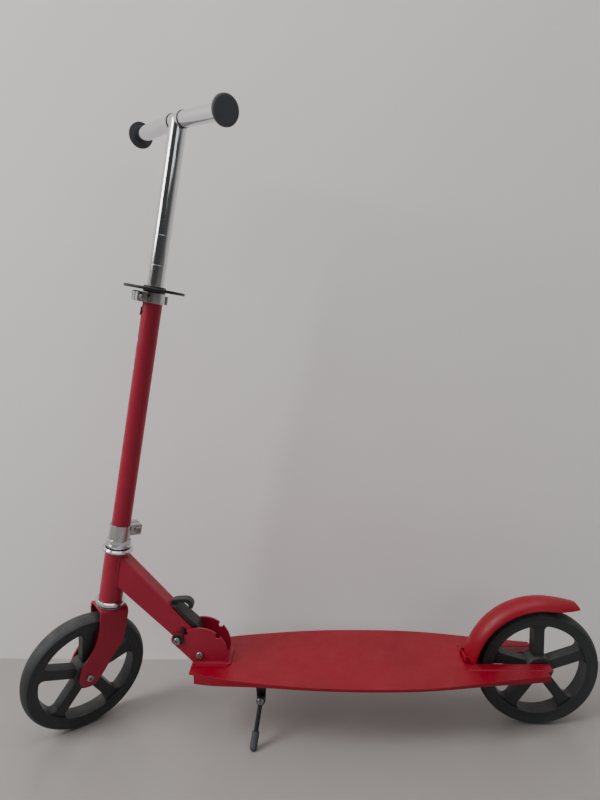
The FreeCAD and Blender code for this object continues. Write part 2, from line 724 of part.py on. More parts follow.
def lock_slide():
    """The black sliding catch: a flat shoe on the down tube with a curled finger hook."""
    shoe = slab([on_top_face(-604.0, 0.4), on_top_face(-600.0, 6.0), on_top_face(-570.0, 9.0),
                 on_top_face(-561.0, 7.0), on_top_face(-558.5, 0.4)], -13.5, 13.5)
    slope = slide_direction()
    shoe = softened(shoe, 2.2, slope, lambda middle: abs(middle.y) > 13.0)
    tongue_top = on_top_face(-583.0, 3.0)
    pin = lock_pin_centre()
    across = slope.cross(Y_AXIS)
    tongue = slab([(tongue_top[0] + 4 * slope.x, tongue_top[1] + 4 * slope.z),
                   (tongue_top[0] - 6 * slope.x, tongue_top[1] - 6 * slope.z),
                   (pin.x - 6 * slope.x, pin.z - 6 * slope.z),
                   (pin.x + across.x * 5 - 5 * slope.x, pin.z + across.z * 5 - 5 * slope.z),
                   (pin.x + 5 * slope.x, pin.z + 5 * slope.z)], -5.5, 5.5)
    body = shoe.fuse([tongue, lock_hook()])
    return body.cut(rod(LOCK_PIN_RADIUS, vec(pin.x, -9, pin.z), vec(pin.x, 9, pin.z))).removeSplitter()


def lock_hook():
    """The finger hook standing on the shoe and curling over towards the deck."""
    width = 6.5
    root = vec(-597.0, -width, 206.5)
    outer = spline([vec(-605.0, -width, 211.0), vec(-603.6, -width, 214.8), vec(-598.5, -width, 217.0),
                    vec(-588.0, -width, 217.9), vec(-577.5, -width, 217.0), vec(-571.0, -width, 211.5),
                    vec(-570.3, -width, 201.5)])
    inner = spline([vec(-576.5, -width, 200.8), vec(-577.2, -width, 207.6), vec(-581.0, -width, 211.2),
                    vec(-589.0, -width, 212.0), vec(-595.0, -width, 210.2), root])
    tip = Part.makeLine(outer.Vertexes[-1].Point, inner.Vertexes[0].Point)
    foot = Part.makePolygon([root, vec(-589.0, -width, 197.5), vec(-601.5, -width, 206.8),
                             outer.Vertexes[0].Point]).Edges
    hook = Part.Face(Part.Wire([outer, tip, inner] + foot)).extrude(vec(0, 2 * width, 0))
    return hook


def lock_pin():
    """The cross pin that drops into the notches of the side plates."""
    pin = lock_pin_centre()
    return rod(LOCK_PIN_RADIUS, vec(pin.x, -PLATE_OUTER + 0.1, pin.z), vec(pin.x, PLATE_OUTER - 0.1, pin.z))


def lock_spring():
    """The return spring of the catch, inside the down tube above the tongue."""
    slope = slide_direction()
    across = slope.cross(Y_AXIS)
    start = lock_pin_centre().add(slope * 7.8).add(across * 1.0)
    turns = [ring(3.4, 0.5, start.add(slope * (1.8 * index)), slope) for index in range(11)]
    return compound(turns)


def spring_peg():
    """The peg welded across the down tube that the catch spring pushes against."""
    slope = slide_direction()
    across = slope.cross(Y_AXIS)
    seat = lock_pin_centre().add(slope * 29.0).add(across * 1.0)
    reach = DOWN_HALF_WIDTH - 0.5
    return rod(2.0, vec(seat.x, -reach, seat.z), vec(seat.x, reach, seat.z))


def head_tube():
    return pipe(HEAD_RADIUS, HEAD_BORE, vec(0, 0, HEAD_BOTTOM), vec(0, 0, HEAD_TOP))


def revolved(profile):
    """A turned part on the steering axis, from (radius, height) points."""
    points = [vec(radius, 0, height) for radius, height in profile]
    return Part.Face(Part.makePolygon(points + [points[0]])).revolve(ORIGIN, Z_AXIS, 360)


def headset_cups():
    """The two pressed cups, each with a skirt inside the head tube."""
    lower = revolved([(HEAD_BORE, 136.0), (HEAD_BORE, HEAD_BOTTOM), (21.5, HEAD_BOTTOM),
                      (LOWER_CUP_RADIUS, HEAD_BOTTOM - 1.5), (LOWER_CUP_RADIUS, 118.2),
                      (20.5, 118.2), (19.0, 120.5), (14.6, 122.0), (14.6, 136.0)])
    upper = revolved([(HEAD_BORE, 197.0), (14.6, 197.0), (14.6, 212.0), (18.8, 213.6),
                      (20.2, 216.0), (UPPER_CUP_RADIUS - 2.5, 216.0), (UPPER_CUP_RADIUS, 213.5),
                      (UPPER_CUP_RADIUS, 211.0), (21.0, HEAD_TOP), (HEAD_BORE, HEAD_TOP)])
    return compound([lower, upper])


def headset_balls():
    """Two rings of loose balls."""
    balls = []
    for height in (118.6, 215.6):
        for index in range(18):
            angle = index * 2 * math.pi / 18
            centre = vec(17.0 * math.cos(angle), 17.0 * math.sin(angle), height)
            balls.append(Part.makeSphere(1.3, centre))
    return compound(balls)


def crown_race():
    """The race that sits on the fork crown under the lower balls."""
    return revolved([(STEERER_RADIUS, CROWN_TOP), (22.5, CROWN_TOP), (22.5, 115.4),
                     (19.2, 116.6), (15.2, 117.0), (15.0, 119.0), (STEERER_RADIUS, 119.0)])


def headset_locknut():
    """The threaded cone above the upper balls, its washer and the hexagon locknut."""
    cone = revolved([(STEERER_RADIUS, 213.5), (14.2, 213.5), (15.3, 217.2), (19.6, 217.6),
                     (20.4, 219.2), (20.4, 221.6), (STEERER_RADIUS, 221.6)])
    washer = revolved([(STEERER_RADIUS, 221.6), (19.0, 221.6), (19.0, 223.0), (STEERER_RADIUS, 223.0)])
    top = nut(vec(0, 0, 223.0), Z_AXIS, 6.3, 34.0, STEERER_RADIUS)
    return compound([cone, washer, top])


# ---------------------------------------------------------------- fork

def fork_blade_outline(y):
    """Side view of a fork blade: broad at the crown and swept forward to the axle."""
    front = spline([vec(-22.3, y, 106.0), vec(-21.0, y, 88.0), vec(-22.3, y, 63.0), vec(-29.0, y, 41.0),
                    vec(-38.5, y, 23.0), vec(-42.9, y, 4.0)])
    toe = Part.Arc(vec(-42.9, y, 4.0), vec(-33.0, y, -15.5), vec(-12.3, y, -8.4)).toShape()
    rear = spline([vec(-12.3, y, -8.4), vec(-4.5, y, 3.5), vec(8.0, y, 29.5), vec(19.6, y, 49.0),
                   vec(23.4, y, 70.5), vec(23.7, y, 93.0), vec(23.6, y, 106.0)])
    top = Part.makeLine(rear.Vertexes[-1].Point, front.Vertexes[0].Point)
    return Part.Face(Part.Wire([front, toe, rear, top]))


def fork():
    """One bent steel strip: two blades and the crown between them."""
    inner = FORK_HALF_WIDTH - FORK_THICKNESS
    right = fork_blade_outline(inner).extrude(vec(0, FORK_THICKNESS, 0))
    left = fork_blade_outline(-FORK_HALF_WIDTH).extrude(vec(0, FORK_THICKNESS, 0))
    bridge = block(-22.3, 23.6, -FORK_HALF_WIDTH, FORK_HALF_WIDTH, 96.0, CROWN_TOP)
    bridge = softened(bridge, 9.0, X_AXIS, lambda middle: middle.z > 110.0)
    hollow = block(-40, 40, -inner, inner, 90.0, CROWN_TOP - FORK_THICKNESS)
    hollow = softened(hollow, 5.0, X_AXIS, lambda middle: middle.z > 105.0)
    body = left.fuse([right, bridge]).cut(hollow)
    body = body.cut(rod(STEERER_RADIUS, vec(0, 0, 100), vec(0, 0, 130)))
    axle_hole = rod(AXLE_RADIUS + 0.1, vec(-FORK_OFFSET, -60, 0), vec(-FORK_OFFSET, 60, 0))
    return body.cut(axle_hole).removeSplitter()


def steerer():
    return pipe(STEERER_RADIUS, 10.5, vec(0, 0, CROWN_TOP - FORK_THICKNESS), vec(0, 0, STEERER_TOP))


def front_axle_bolt():
    return sleeve_bolt(FRONT_HUB, FORK_HALF_WIDTH)


def front_axle_screw():
    return sleeve_screw(FRONT_HUB, FORK_HALF_WIDTH)


def front_axle_spacers():
    start = FRONT_HUB_WIDTH / 2.0 + 0.25
    end = FORK_HALF_WIDTH - FORK_THICKNESS
    pieces = []
    for side in (-1.0, 1.0):
        pieces.append(pipe(5.8, AXLE_RADIUS + 0.1, vec(-FORK_OFFSET, side * start, 0),
                           vec(-FORK_OFFSET, side * end, 0)))
    return compound(pieces)


# ---------------------------------------------------------------- stem

def towards_holes(distance, height):
    """A point on the line of the height holes, which face forward and a little right."""
    angle = math.radians(180.0 - HOLE_TURN)
    return vec(distance * math.cos(angle), distance * math.sin(angle), height)


def stem_tube():
    """The painted outer tube, slotted at both ends and drilled for three heights."""
    tube = pipe(STEM_RADIUS, STEM_BORE, vec(0, 0, STEM_BOTTOM), vec(0, 0, STEM_TOP))
    tube = tube.cut(block(0, 40, -1.0, 1.0, STEM_BOTTOM - 1, STEM_BOTTOM + 32))
    tube = tube.cut(block(-40, 0, -1.0, 1.0, STEM_TOP - 22, STEM_TOP + 1))
    for step in range(3):
        height = HOLE_TOP - step * HOLE_PITCH
        tube = tube.cut(rod(HOLE_RADIUS, towards_holes(0, height), towards_holes(30, height)))
    return tube


def collar(low, high, ear_side, ear_near, ear_far, ear_low, ear_high, ear_half):
    """A split clamp collar with a pair of ears."""
    body = rod(COLLAR_RADIUS, vec(0, 0, low), vec(0, 0, high))
    x = sorted((ear_side * ear_near, ear_side * ear_far))
    ears = block(x[0], x[1], -ear_half, ear_half, ear_low, ear_high)
    ears = softened(ears, 2.5, Y_AXIS)
    body = body.fuse(ears).cut(rod(STEM_RADIUS + 0.05, vec(0, 0, low - 1), vec(0, 0, high + 1)))
    gap = sorted((0.0, ear_side * (ear_far + 5)))
    return body.cut(block(gap[0], gap[1], -1.1, 1.1, low - 1, high + 1))


def lower_collar():
    body = collar(LOWER_COLLAR_BOTTOM, LOWER_COLLAR_TOP, 1.0, 10.0, 32.0, 236.5, LOWER_COLLAR_TOP, 11.0)
    return body.cut(rod(3.1, vec(24.5, -30, 245.5), vec(24.5, 30, 245.5)))


def lower_collar_bolt():
    """The socket bolt of the lower collar, with its nut."""
    bolt = button_bolt(vec(24.5, -11.0, 245.5), Y_AXIS, 27.5, 3.0, 5.4, 3.6)
    return compound([bolt, nut(vec(24.5, 11.0, 245.5), Y_AXIS, 5.0, 10.0, 3.0)])


def upper_collar():
    body = collar(UPPER_COLLAR_BOTTOM, UPPER_COLLAR_TOP, -1.0, 10.0, 30.0,
                  UPPER_COLLAR_BOTTOM, UPPER_COLLAR_TOP, 9.0)
    return body.cut(rod(2.6, vec(-SKEWER_REACH, -30, SKEWER_HEIGHT), vec(-SKEWER_REACH, 30, SKEWER_HEIGHT)))


def clamp_skewer():
    """The threaded rod of the quick-release clamp, from its nut to its lever pivot."""
    shaft = rod(2.5, vec(-SKEWER_REACH, -15.5, SKEWER_HEIGHT), vec(-SKEWER_REACH, 13.3, SKEWER_HEIGHT))
    eye = rod(2.95, vec(-SKEWER_REACH, 16.0, SKEWER_HEIGHT - 6.8),
              vec(-SKEWER_REACH, 16.0, SKEWER_HEIGHT + 6.8))
    link = block(-SKEWER_REACH - 2.0, -SKEWER_REACH + 2.0, 12.0, 16.0, SKEWER_HEIGHT - 2.2,
                 SKEWER_HEIGHT + 2.2)
    return shaft.fuse([eye, link])


def clamp_nut():
    """The round knurled nut on the near end of the skewer, and the dished washer at the lever."""
    knob = rod(5.6, vec(-SKEWER_REACH, -17.0, SKEWER_HEIGHT), vec(-SKEWER_REACH, -9.0, SKEWER_HEIGHT))
    knob = knob.makeFillet(0.8, [edge for edge in knob.Edges if abs(edge.CenterOfMass.y + 17.0) < 0.01])
    knob = knob.cut(rod(2.5, vec(-SKEWER_REACH, -15.5, SKEWER_HEIGHT), vec(-SKEWER_REACH, 0, SKEWER_HEIGHT)))
    slot = block(-SKEWER_REACH - 4.0, -SKEWER_REACH + 4.0, -18, -16.2, SKEWER_HEIGHT - 0.6,
                 SKEWER_HEIGHT + 0.6)
    washer = pipe(5.6, 2.6, vec(-SKEWER_REACH, 9.0, SKEWER_HEIGHT), vec(-SKEWER_REACH, 10.2, SKEWER_HEIGHT))
    return compound([knob.cut(slot), washer])


def clamp_lever():
    """The quick-release lever: an eccentric barrel and an arm that wraps back past the tube."""
    z0 = SKEWER_HEIGHT - 7.0
    z1 = SKEWER_HEIGHT + 7.0
    barrel = rod(5.4, vec(-SKEWER_REACH, 16.0, z0), vec(-SKEWER_REACH, 16.0, z1))
    z = SKEWER_HEIGHT - 5.5
    outer = spline([vec(-SKEWER_REACH - 1.0, 21.3, z), vec(-10.0, 24.0, z), vec(8.0, 25.2, z),
                    vec(22.0, 23.5, z), vec(32.0, 19.5, z)])
    inner = spline([vec(-SKEWER_REACH + 2.0, 18.0, z), vec(-10.0, 20.8, z), vec(8.0, 22.0, z),
                    vec(21.0, 20.4, z), vec(30.6, 16.7, z)])
    root = Part.makeLine(inner.Vertexes[0].Point, outer.Vertexes[0].Point)
    tip = Part.makeLine(outer.Vertexes[-1].Point, inner.Vertexes[-1].Point)
    face = Part.Face(Part.Wire(Part.__sortEdges__([outer, tip, inner, root])))
    arm = face.extrude(vec(0, 0, 11.0))
    tail = rod(2.6, vec(31.0, 18.2, z - 2.5), vec(31.0, 18.2, z + 11.0))
    lever = barrel.fuse([arm, tail])
    lever = lever.cut(rod(3.02, vec(-SKEWER_REACH, 16.0, z0 - 1), vec(-SKEWER_REACH, 16.0, z1 + 1)))
    relief = block(-SKEWER_REACH - 2.7, -SKEWER_REACH + 2.7, 8.0, 16.0, SKEWER_HEIGHT - 2.65,
                   SKEWER_HEIGHT + 2.65)
    steps = [turned(relief, vec(-SKEWER_REACH, 16.0, 0), Z_AXIS, -12.0 * step) for step in range(11)]
    return lever.cut(steps[0].fuse(steps[1:])).removeSplitter()


def strap_plate():
    """A loose round plastic plate with a hub and two strap slots, resting on the clamp."""
    hub = rod(17.0, vec(0, 0, STRAP_PLATE_HEIGHT - 5.0), vec(0, 0, STRAP_PLATE_HEIGHT + 5.0))
    hub = hub.makeFillet(1.2, [edge for edge in hub.Edges if edge.Curve.TypeId == "Part::GeomCircle"])
    disc = rod(STRAP_PLATE_RADIUS, vec(0, 0, STRAP_PLATE_HEIGHT - 2.2), vec(0, 0, STRAP_PLATE_HEIGHT + 2.2))
    disc = disc.makeFillet(1.4, [edge for edge in disc.Edges if edge.Curve.TypeId == "Part::GeomCircle"])
    plate = disc.fuse(hub).cut(rod(INNER_TUBE_RADIUS + 0.35, vec(0, 0, 600), vec(0, 0, 660)))
    for side in (-1.0, 1.0):
        slot = block(-13, 13, side * 33.0 - 2.5, side * 33.0 + 2.5, 620, 650)
        plate = plate.cut(softened(slot, 2.2, Z_AXIS))
    return plate


# ---------------------------------------------------------------- handlebar

def inner_tube():
    """The chromed height tube, with its button hole and two shallow height rings."""
    bar_rod = rod(BAR_RADIUS, vec(0, -60, BAR_HEIGHT), vec(0, 60, BAR_HEIGHT))
    tube = pipe(INNER_TUBE_RADIUS, INNER_TUBE_BORE, vec(0, 0, INNER_TUBE_BOTTOM), vec(0, 0, BAR_HEIGHT))
    tube = tube.cut(bar_rod)
    tube = tube.cut(rod(BUTTON_RADIUS + 0.05, towards_holes(0, HOLE_TOP), towards_holes(20, HOLE_TOP)))
    for height in (671.0, 716.0):
        groove = pipe(INNER_TUBE_RADIUS + 1, INNER_TUBE_RADIUS - 0.25, vec(0, 0, height - 0.35),
                      vec(0, 0, height + 0.35))
        tube = tube.cut(groove)
    return tube


def tee_sleeve():
    """The short cross sleeve that takes the two halves of the bar."""
    half = SLEEVE_HALF_LENGTH
    return pipe(BAR_RADIUS, BAR_BORE, vec(0, -half, BAR_HEIGHT), vec(0, half, BAR_HEIGHT))


def bar_right():
    """One half of the bar: a plug in the sleeve and a tube that hangs very slightly low."""
    start = vec(0, SLEEVE_HALF_LENGTH + 0.9, BAR_HEIGHT)
    droop = math.radians(BAR_DROOP)
    run = vec(0, math.cos(droop), -math.sin(droop))
    end = start.add(run * (BAR_REACH - SLEEVE_HALF_LENGTH - 2.9))
    tube = rod(BAR_RADIUS, start.add(run * 0.6), end)
    plug = rod(BAR_BORE - 0.05, vec(0, 1.0, BAR_HEIGHT), vec(0, SLEEVE_HALF_LENGTH + 3.0, BAR_HEIGHT))
    body = tube.fuse(plug)
    bore = rod(BAR_BORE - 0.4, start.add(run * 6.0), end.add(run * 2.0))
    return body.cut(bore).cut(rod(6.5, vec(0, 0, BAR_HEIGHT), vec(0, 30, BAR_HEIGHT)))


def bar_end_caps():
    """The rubber end plugs with their broad domed flanges."""
    droop = math.radians(BAR_DROOP)
    run = vec(0, math.cos(droop), -math.sin(droop))
    start = vec(0, SLEEVE_HALF_LENGTH + 0.9, BAR_HEIGHT)
    end = start.add(run * (BAR_REACH - SLEEVE_HALF_LENGTH - 2.9))
    flange = rod(CAP_RADIUS, end, end.add(run * 5.0))
    outer_rim = [edge for edge in flange.Edges if edge.CenterOfMass.sub(end).dot(run) > 4.5]
    flange = flange.makeFillet(3.6, outer_rim[:1])
    plug = rod(BAR_BORE - 0.45, end.sub(run * 22.0), end)
    cap = flange.fuse(plug)
    return compound([cap, mirrored(cap)])


def bar_seam_rings():
    """The black rubber rings where the bar halves enter the sleeve."""
    rings = []
    for side in (-1.0, 1.0):
        start = vec(0, side * SLEEVE_HALF_LENGTH, BAR_HEIGHT)
        rings.append(pipe(BAR_RADIUS + 0.5, BAR_BORE, start, start.add(vec(0, side * 0.9, 0))))
    return compound(rings)


def snap_button():
    """The height button, drawn pressed in so that its dome is level with the inner tube."""
    outward = towards_holes(1.0, 0)
    start = towards_holes(7.0, HOLE_TOP)
    end = towards_holes(12.9, HOLE_TOP)
    pin = rod(BUTTON_RADIUS, start, end)
    top = [edge for edge in pin.Edges if edge.CenterOfMass.sub(end).dot(outward) > -0.01]
    pin = pin.makeFillet(1.2, [edge for edge in top if len(edge.Vertexes) == 1][:1])
    foot = rod(4.6, towards_holes(4.1, HOLE_TOP), towards_holes(5.8, HOLE_TOP))
    return pin.fuse(foot.fuse(rod(2.0, towards_holes(5.0, HOLE_TOP), towards_holes(8.0, HOLE_TOP))))


def snap_spring():
    """The coil spring behind the button, with the cup it stands in."""
    outward = towards_holes(1.0, 0)
    turns = [ring(3.4, 0.45, towards_holes(3.3 - 1.6 * index, HOLE_TOP), outward) for index in range(8)]
    return compound(turns)


# ---------------------------------------------------------------- fender

def fender_section(angle):
    """The arched cross-section of the mudguard, standing at an angle round the axle."""
    half = FENDER_HALF_WIDTH
    wall = FENDER_WALL
    spring = FENDER_RADIUS - 13.0
    low = FENDER_SKIRT_RADIUS
    crown = Part.Arc(vec(spring, -half, 0), vec(FENDER_RADIUS, 0, 0), vec(spring, half, 0)).toShape()
    under = Part.Arc(vec(spring, wall - half, 0), vec(FENDER_RADIUS - wall, 0, 0),
                     vec(spring, half - wall, 0)).toShape()
    edges = [crown, under]
    for side in (-1.0, 1.0):
        outer = side * half
        inner = side * (half - wall)
        edges.append(Part.makeLine(vec(spring, outer, 0), vec(low, outer, 0)))
        edges.append(Part.makeLine(vec(low, outer, 0), vec(low, inner, 0)))
        edges.append(Part.makeLine(vec(low, inner, 0), vec(spring, inner, 0)))
    face = Part.Face(Part.Wire(Part.__sortEdges__(edges)))
    face.rotate(ORIGIN, Y_AXIS, -angle)
    return face


def rear_fender():
    """The sprung rear mudguard that doubles as a foot brake."""
    bend = math.radians(FENDER_BEND_ANGLE)
    guard = fender_section(FENDER_BEND_ANGLE).revolve(ORIGIN, Y_AXIS, FENDER_BEND_ANGLE - FENDER_FOOT_ANGLE)
    back = FENDER_TAIL_RADIUS - FENDER_RADIUS
    centre = vec(-back * math.cos(bend), 0, -back * math.sin(bend))
    sweep = math.degrees(FENDER_TAIL_LENGTH / FENDER_TAIL_RADIUS)
    tail = fender_section(FENDER_BEND_ANGLE).revolve(centre, Y_AXIS, sweep)
    tip = bend - math.radians(sweep)
    along = vec(math.sin(tip), 0, -math.cos(tip))
    middle = vec(centre.x + (FENDER_TAIL_RADIUS - 8.0) * math.cos(tip), 0,
                 centre.z + (FENDER_TAIL_RADIUS - 8.0) * math.sin(tip)).sub(along * 8.5)
    nose = rod(9.0, vec(middle.x, -40, middle.z), vec(middle.x, 40, middle.z))
    body = block(-60, 0, -40, 40, -30, 60)
    body.rotate(ORIGIN, Y_AXIS, 90.0 - math.degrees(tip))
    body.translate(middle)
    tail = tail.common(body.fuse(nose))
    shallow = block(0, 140, -40, 40, 0, 104.5)
    shallow.rotate(vec(0, 0, 104.5), Y_AXIS, -1.5)
    guard = guard.fuse(tail).cut(shallow)
    guard.translate(REAR_HUB)
    guard = guard.cut(block(-200, -60, -40, 40, 60, ARM_TOP + 2.2))
    lugs = []
    for side in (-1.0, 1.0):
        y = sorted((side * 12.0, side * 16.0))
        lug = slab([(-121.5, 104.0), (-117.0, 96.5), (-111.0, 96.5), (-106.0, 102.0), (-108.5, 120.0),
                    (-121.5, 124.0)], y[0], y[1])
        lugs.append(lug)
    cross = block(-122.4, -119.2, -16.0, 16.0, 106.0, 120.0)
    guard = guard.fuse(lugs + [cross])
    hole = rod(3.06, vec(FENDER_PIN_X, -40, FENDER_PIN_Z), vec(FENDER_PIN_X, 40, FENDER_PIN_Z))
    return guard.cut(hole).removeSplitter()


def fender_pin():
    """The hinge pin of the fender, headed inside the left arm."""
    reach = ARM_INNER + ARM_WALL
    pin = rod(3.0, vec(FENDER_PIN_X, -reach - 0.5, FENDER_PIN_Z), vec(FENDER_PIN_X, reach + 4, FENDER_PIN_Z))
    head = rod(5.0, vec(FENDER_PIN_X, -reach - 2.5, FENDER_PIN_Z), vec(FENDER_PIN_X, -reach, FENDER_PIN_Z))
    clip = pipe(4.6, 3.0, vec(FENDER_PIN_X, reach + 0.2, FENDER_PIN_Z),
                vec(FENDER_PIN_X, reach + 1.2, FENDER_PIN_Z))
    return pin.fuse([head, clip])


def fender_spring():
    """The torsion spring round the fender pin."""
    turns = []
    for index in range(9):
        y = -8.0 + 2.0 * index
        turns.append(ring(4.6, 0.9, vec(FENDER_PIN_X, y, FENDER_PIN_Z), Y_AXIS))
    return compound(turns)


# ---------------------------------------------------------------- kickstand

def stand_axes():
    """The kickstand's eye, the direction of its leg and its pivot axis, scooter upright."""
    eye = vec(*STAND_EYE)
    along = vec(*STAND_FOOT).sub(eye).normalize()
    axis = along.cross(X_AXIS).normalize()
    return eye, along, axis


def stand_leg_length():
    """Length that brings the rubber foot down to the floor when the scooter leans."""
    eye, along, _ = stand_axes()
    drop = REST.Rotation.multVec(along).z
    return (STAND_FOOT_RADIUS - REST.multVec(eye).z) / drop


def kickstand_leg():
    eye, along, axis = stand_axes()
    hub = rod(6.8, eye.sub(axis * 3.5), eye.add(axis * 3.5))
    leg = rod(STAND_ROD_RADIUS, eye, eye.add(along * (stand_leg_length() - 16.0)))
    body = hub.fuse(leg)
    return body.cut(rod(3.1, eye.sub(axis * 20), eye.add(axis * 20)))


def kickstand_foot():
    """The rubber boot on the end of the leg, with a round tip."""
    eye, along, _ = stand_axes()
    length = stand_leg_length()
    tip = eye.add(along * length)
    start = eye.add(along * (length - 22.0))
    boot = rod(STAND_FOOT_RADIUS, start, tip).fuse(Part.makeSphere(STAND_FOOT_RADIUS, tip))
    return boot.cut(rod(STAND_ROD_RADIUS, start.sub(along * 5), eye.add(along * (length - 16.0))))


def kickstand_bracket():
    """A tapered hanger under the deck with a slanted boss for the leg."""
    eye, _, axis = stand_axes()
    boss_end = eye.sub(axis * 5.2)
    boss_start = eye.sub(axis * 15.0)
    boss = rod(7.0, boss_start, boss_end)
    centre = boss_start.add(axis * 4.0)
    flange = softened(block(-482, -428, -56, -33.5, 107.5, 110.0), 5.0, Z_AXIS)
    web = slab([(-473, 107.5), (-437, 107.5), (-447.5, 84.0), (-449.5, centre.z), (-462.5, centre.z),
                (-464.0, 84.0)], centre.y - 2.0, centre.y + 3.0)
    hanger = flange.fuse([web, boss])
    hanger = hanger.cut(rod(3.05, boss_start.sub(axis * 30), boss_end.add(axis * 30)))
    for x in STAND_SCREWS:
        hanger = hanger.cut(rod(2.6, vec(x, STAND_SCREW_SIDE, 90), vec(x, STAND_SCREW_SIDE, 120)))
    return hanger


def kickstand_bolts():
    """The pivot bolt of the kickstand with its nut, and the two screws that hold its hanger."""
    eye, _, axis = stand_axes()
    bolt = button_bolt(eye.add(axis * 4.0), axis * -1.0, 25.0, 3.0, 5.2, 3.2)
    pieces = [bolt, nut(eye.sub(axis * 15.0), axis * -1.0, 5.0, 10.0, 3.0)]
    for x in STAND_SCREWS:
        pieces.append(button_bolt(vec(x, STAND_SCREW_SIDE, 107.5), Z_AXIS, 4.3, 2.5, 4.4, 2.6))
    return compound(pieces)


def kickstand_spring():
    """The dished spring washer that holds the leg where it is put."""
    eye, _, axis = stand_axes()
    outer = eye.sub(axis * 3.7)
    inner = eye.sub(axis * 5.1)
    dish = Part.makeCone(6.8, 5.2, 1.4, outer, axis * -1.0)
    hollow = Part.makeCone(6.0, 4.2, 0.8, outer, axis * -1.0)
    return dish.cut(hollow).cut(rod(3.1, outer.add(axis), inner.sub(axis)))


# ---------------------------------------------------------------- export

def at_rear_wheel(shape):
    return moved(shape, REAR_HUB)


def at_front_wheel(shape):
    return moved(shape, FRONT_HUB)


def pieces():
    """Every node: its name, its frame and its solid."""
    arm = rear_arm_right()
    side = side_plate_right()
    half_bar = bar_right()
    front_core = wheel_core(FRONT_HUB_WIDTH, FRONT_SPOKE_TURN)
    rear_core = wheel_core(REAR_HUB_WIDTH, REAR_SPOKE_TURN)
    return [
        ("deck_plate", "deck", deck_plate()),
        ("deck_beam", "deck", deck_beam()),
        ("rear_arm_right", "deck", arm),
        ("rear_arm_left", "deck", mirrored(arm)),
        ("bracket_base", "deck", bracket_base()),
        ("side_plate_right", "deck", side),
        ("side_plate_left", "deck", mirrored(side)),
        ("bracket_bolts", "deck", bracket_bolts()),
        ("bracket_nuts", "deck", bracket_nuts()),
        ("stop_bush", "deck", stop_bush()),
        ("stop_washers", "deck", stop_washers()),
        ("rear_axle_bolt", "deck", rear_axle_bolt()),
        ("rear_axle_screw", "deck", rear_axle_screw()),
        ("rear_axle_washers", "deck", rear_axle_washers()),
        ("fender_pin", "deck", fender_pin()),
        ("fender_spring", "deck", fender_spring()),
        ("kickstand_bracket", "deck", kickstand_bracket()),
        ("kickstand_bolts", "deck", kickstand_bolts()),
        ("kickstand_spring", "deck", kickstand_spring()),
        ("rear_fender", "deck", rear_fender()),
        ("rear_wheel_core", "deck", at_rear_wheel(rear_core)),
        ("rear_tyre", "deck", at_rear_wheel(wheel_tyre())),
        ("rear_bearings", "deck", at_rear_wheel(wheel_bearings(REAR_HUB_WIDTH))),
        ("kickstand_leg", "deck", kickstand_leg()),
        ("kickstand_foot", "deck", kickstand_foot()),
        ("down_tube", "deck", down_tube()),
        ("pivot_sleeve", "deck", pivot_sleeve()),
        ("lock_slide", "deck", lock_slide()),
        ("lock_pin", "deck", lock_pin()),
        ("lock_spring", "deck", lock_spring()),
        ("head_tube", "head", head_tube()),
        ("headset_cups", "head", headset_cups()),
        ("headset_balls", "head", headset_balls()),
        ("crown_race", "steered", crown_race()),
        ("headset_locknut", "steered", headset_locknut()),
        ("fork", "steered", fork()),
        ("steerer", "steered", steerer()),
        ("front_axle_bolt", "steered", front_axle_bolt()),
        ("front_axle_screw", "steered", front_axle_screw()),
        ("front_axle_spacers", "steered", front_axle_spacers()),
        ("front_wheel_core", "steered", at_front_wheel(front_core)),
        ("front_tyre", "steered", at_front_wheel(wheel_tyre())),
        ("front_bearings", "steered", at_front_wheel(wheel_bearings(FRONT_HUB_WIDTH))),
        ("stem_tube", "steered", stem_tube()),
        ("lower_collar", "steered", lower_collar()),
        ("lower_collar_bolt", "steered", lower_collar_bolt()),
        ("upper_collar", "steered", upper_collar()),
        ("clamp_skewer", "steered", clamp_skewer()),
        ("clamp_nut", "steered", clamp_nut()),
        ("clamp_lever", "steered", clamp_lever()),
        ("strap_plate", "steered", strap_plate()),
        ("inner_tube", "steered", inner_tube()),
        ("tee_sleeve", "steered", tee_sleeve()),
        ("bar_right", "steered", half_bar),
        ("bar_left", "steered", mirrored(half_bar)),
        ("bar_end_caps", "steered", bar_end_caps()),
        ("bar_seam_rings", "steered", bar_seam_rings()),
        ("snap_button", "steered", snap_button()),
        ("snap_spring", "steered", snap_spring()),
    ]


def joint_lines():
    """Where each joint sits in the rest pose: name, frame, point and axis."""
    eye, _, stand_axis = stand_axes()
    return [
        ("rear_wheel_spin", "deck", REAR_HUB, Y_AXIS),
        ("front_wheel_spin", "steered", FRONT_HUB, Y_AXIS),
        ("steering", "head", vec(0, 0, 160), Z_AXIS),
        ("stem_fold", "deck", vec(FOLD_X, 0, FOLD_Z), Y_AXIS),
        ("lock_slide_move", "deck", lock_pin_centre(), slide_direction()),
        ("fender_brake", "deck", vec(FENDER_PIN_X, 0, FENDER_PIN_Z), Y_AXIS),
        ("kickstand_fold", "deck", eye, stand_axis),
        ("clamp_lever_turn", "steered", vec(-SKEWER_REACH, 16.0, SKEWER_HEIGHT), Z_AXIS),
        ("strap_plate_spin", "steered", vec(0, 0, STRAP_PLATE_HEIGHT), Z_AXIS),
        ("handlebar_height", "steered", vec(0, 0, 600), Z_AXIS),
        ("snap_button_press", "steered", towards_holes(10.0, HOLE_TOP), towards_holes(1.0, 0)),
        ("bar_line", "steered", vec(0, 0, BAR_HEIGHT), Y_AXIS),
    ]


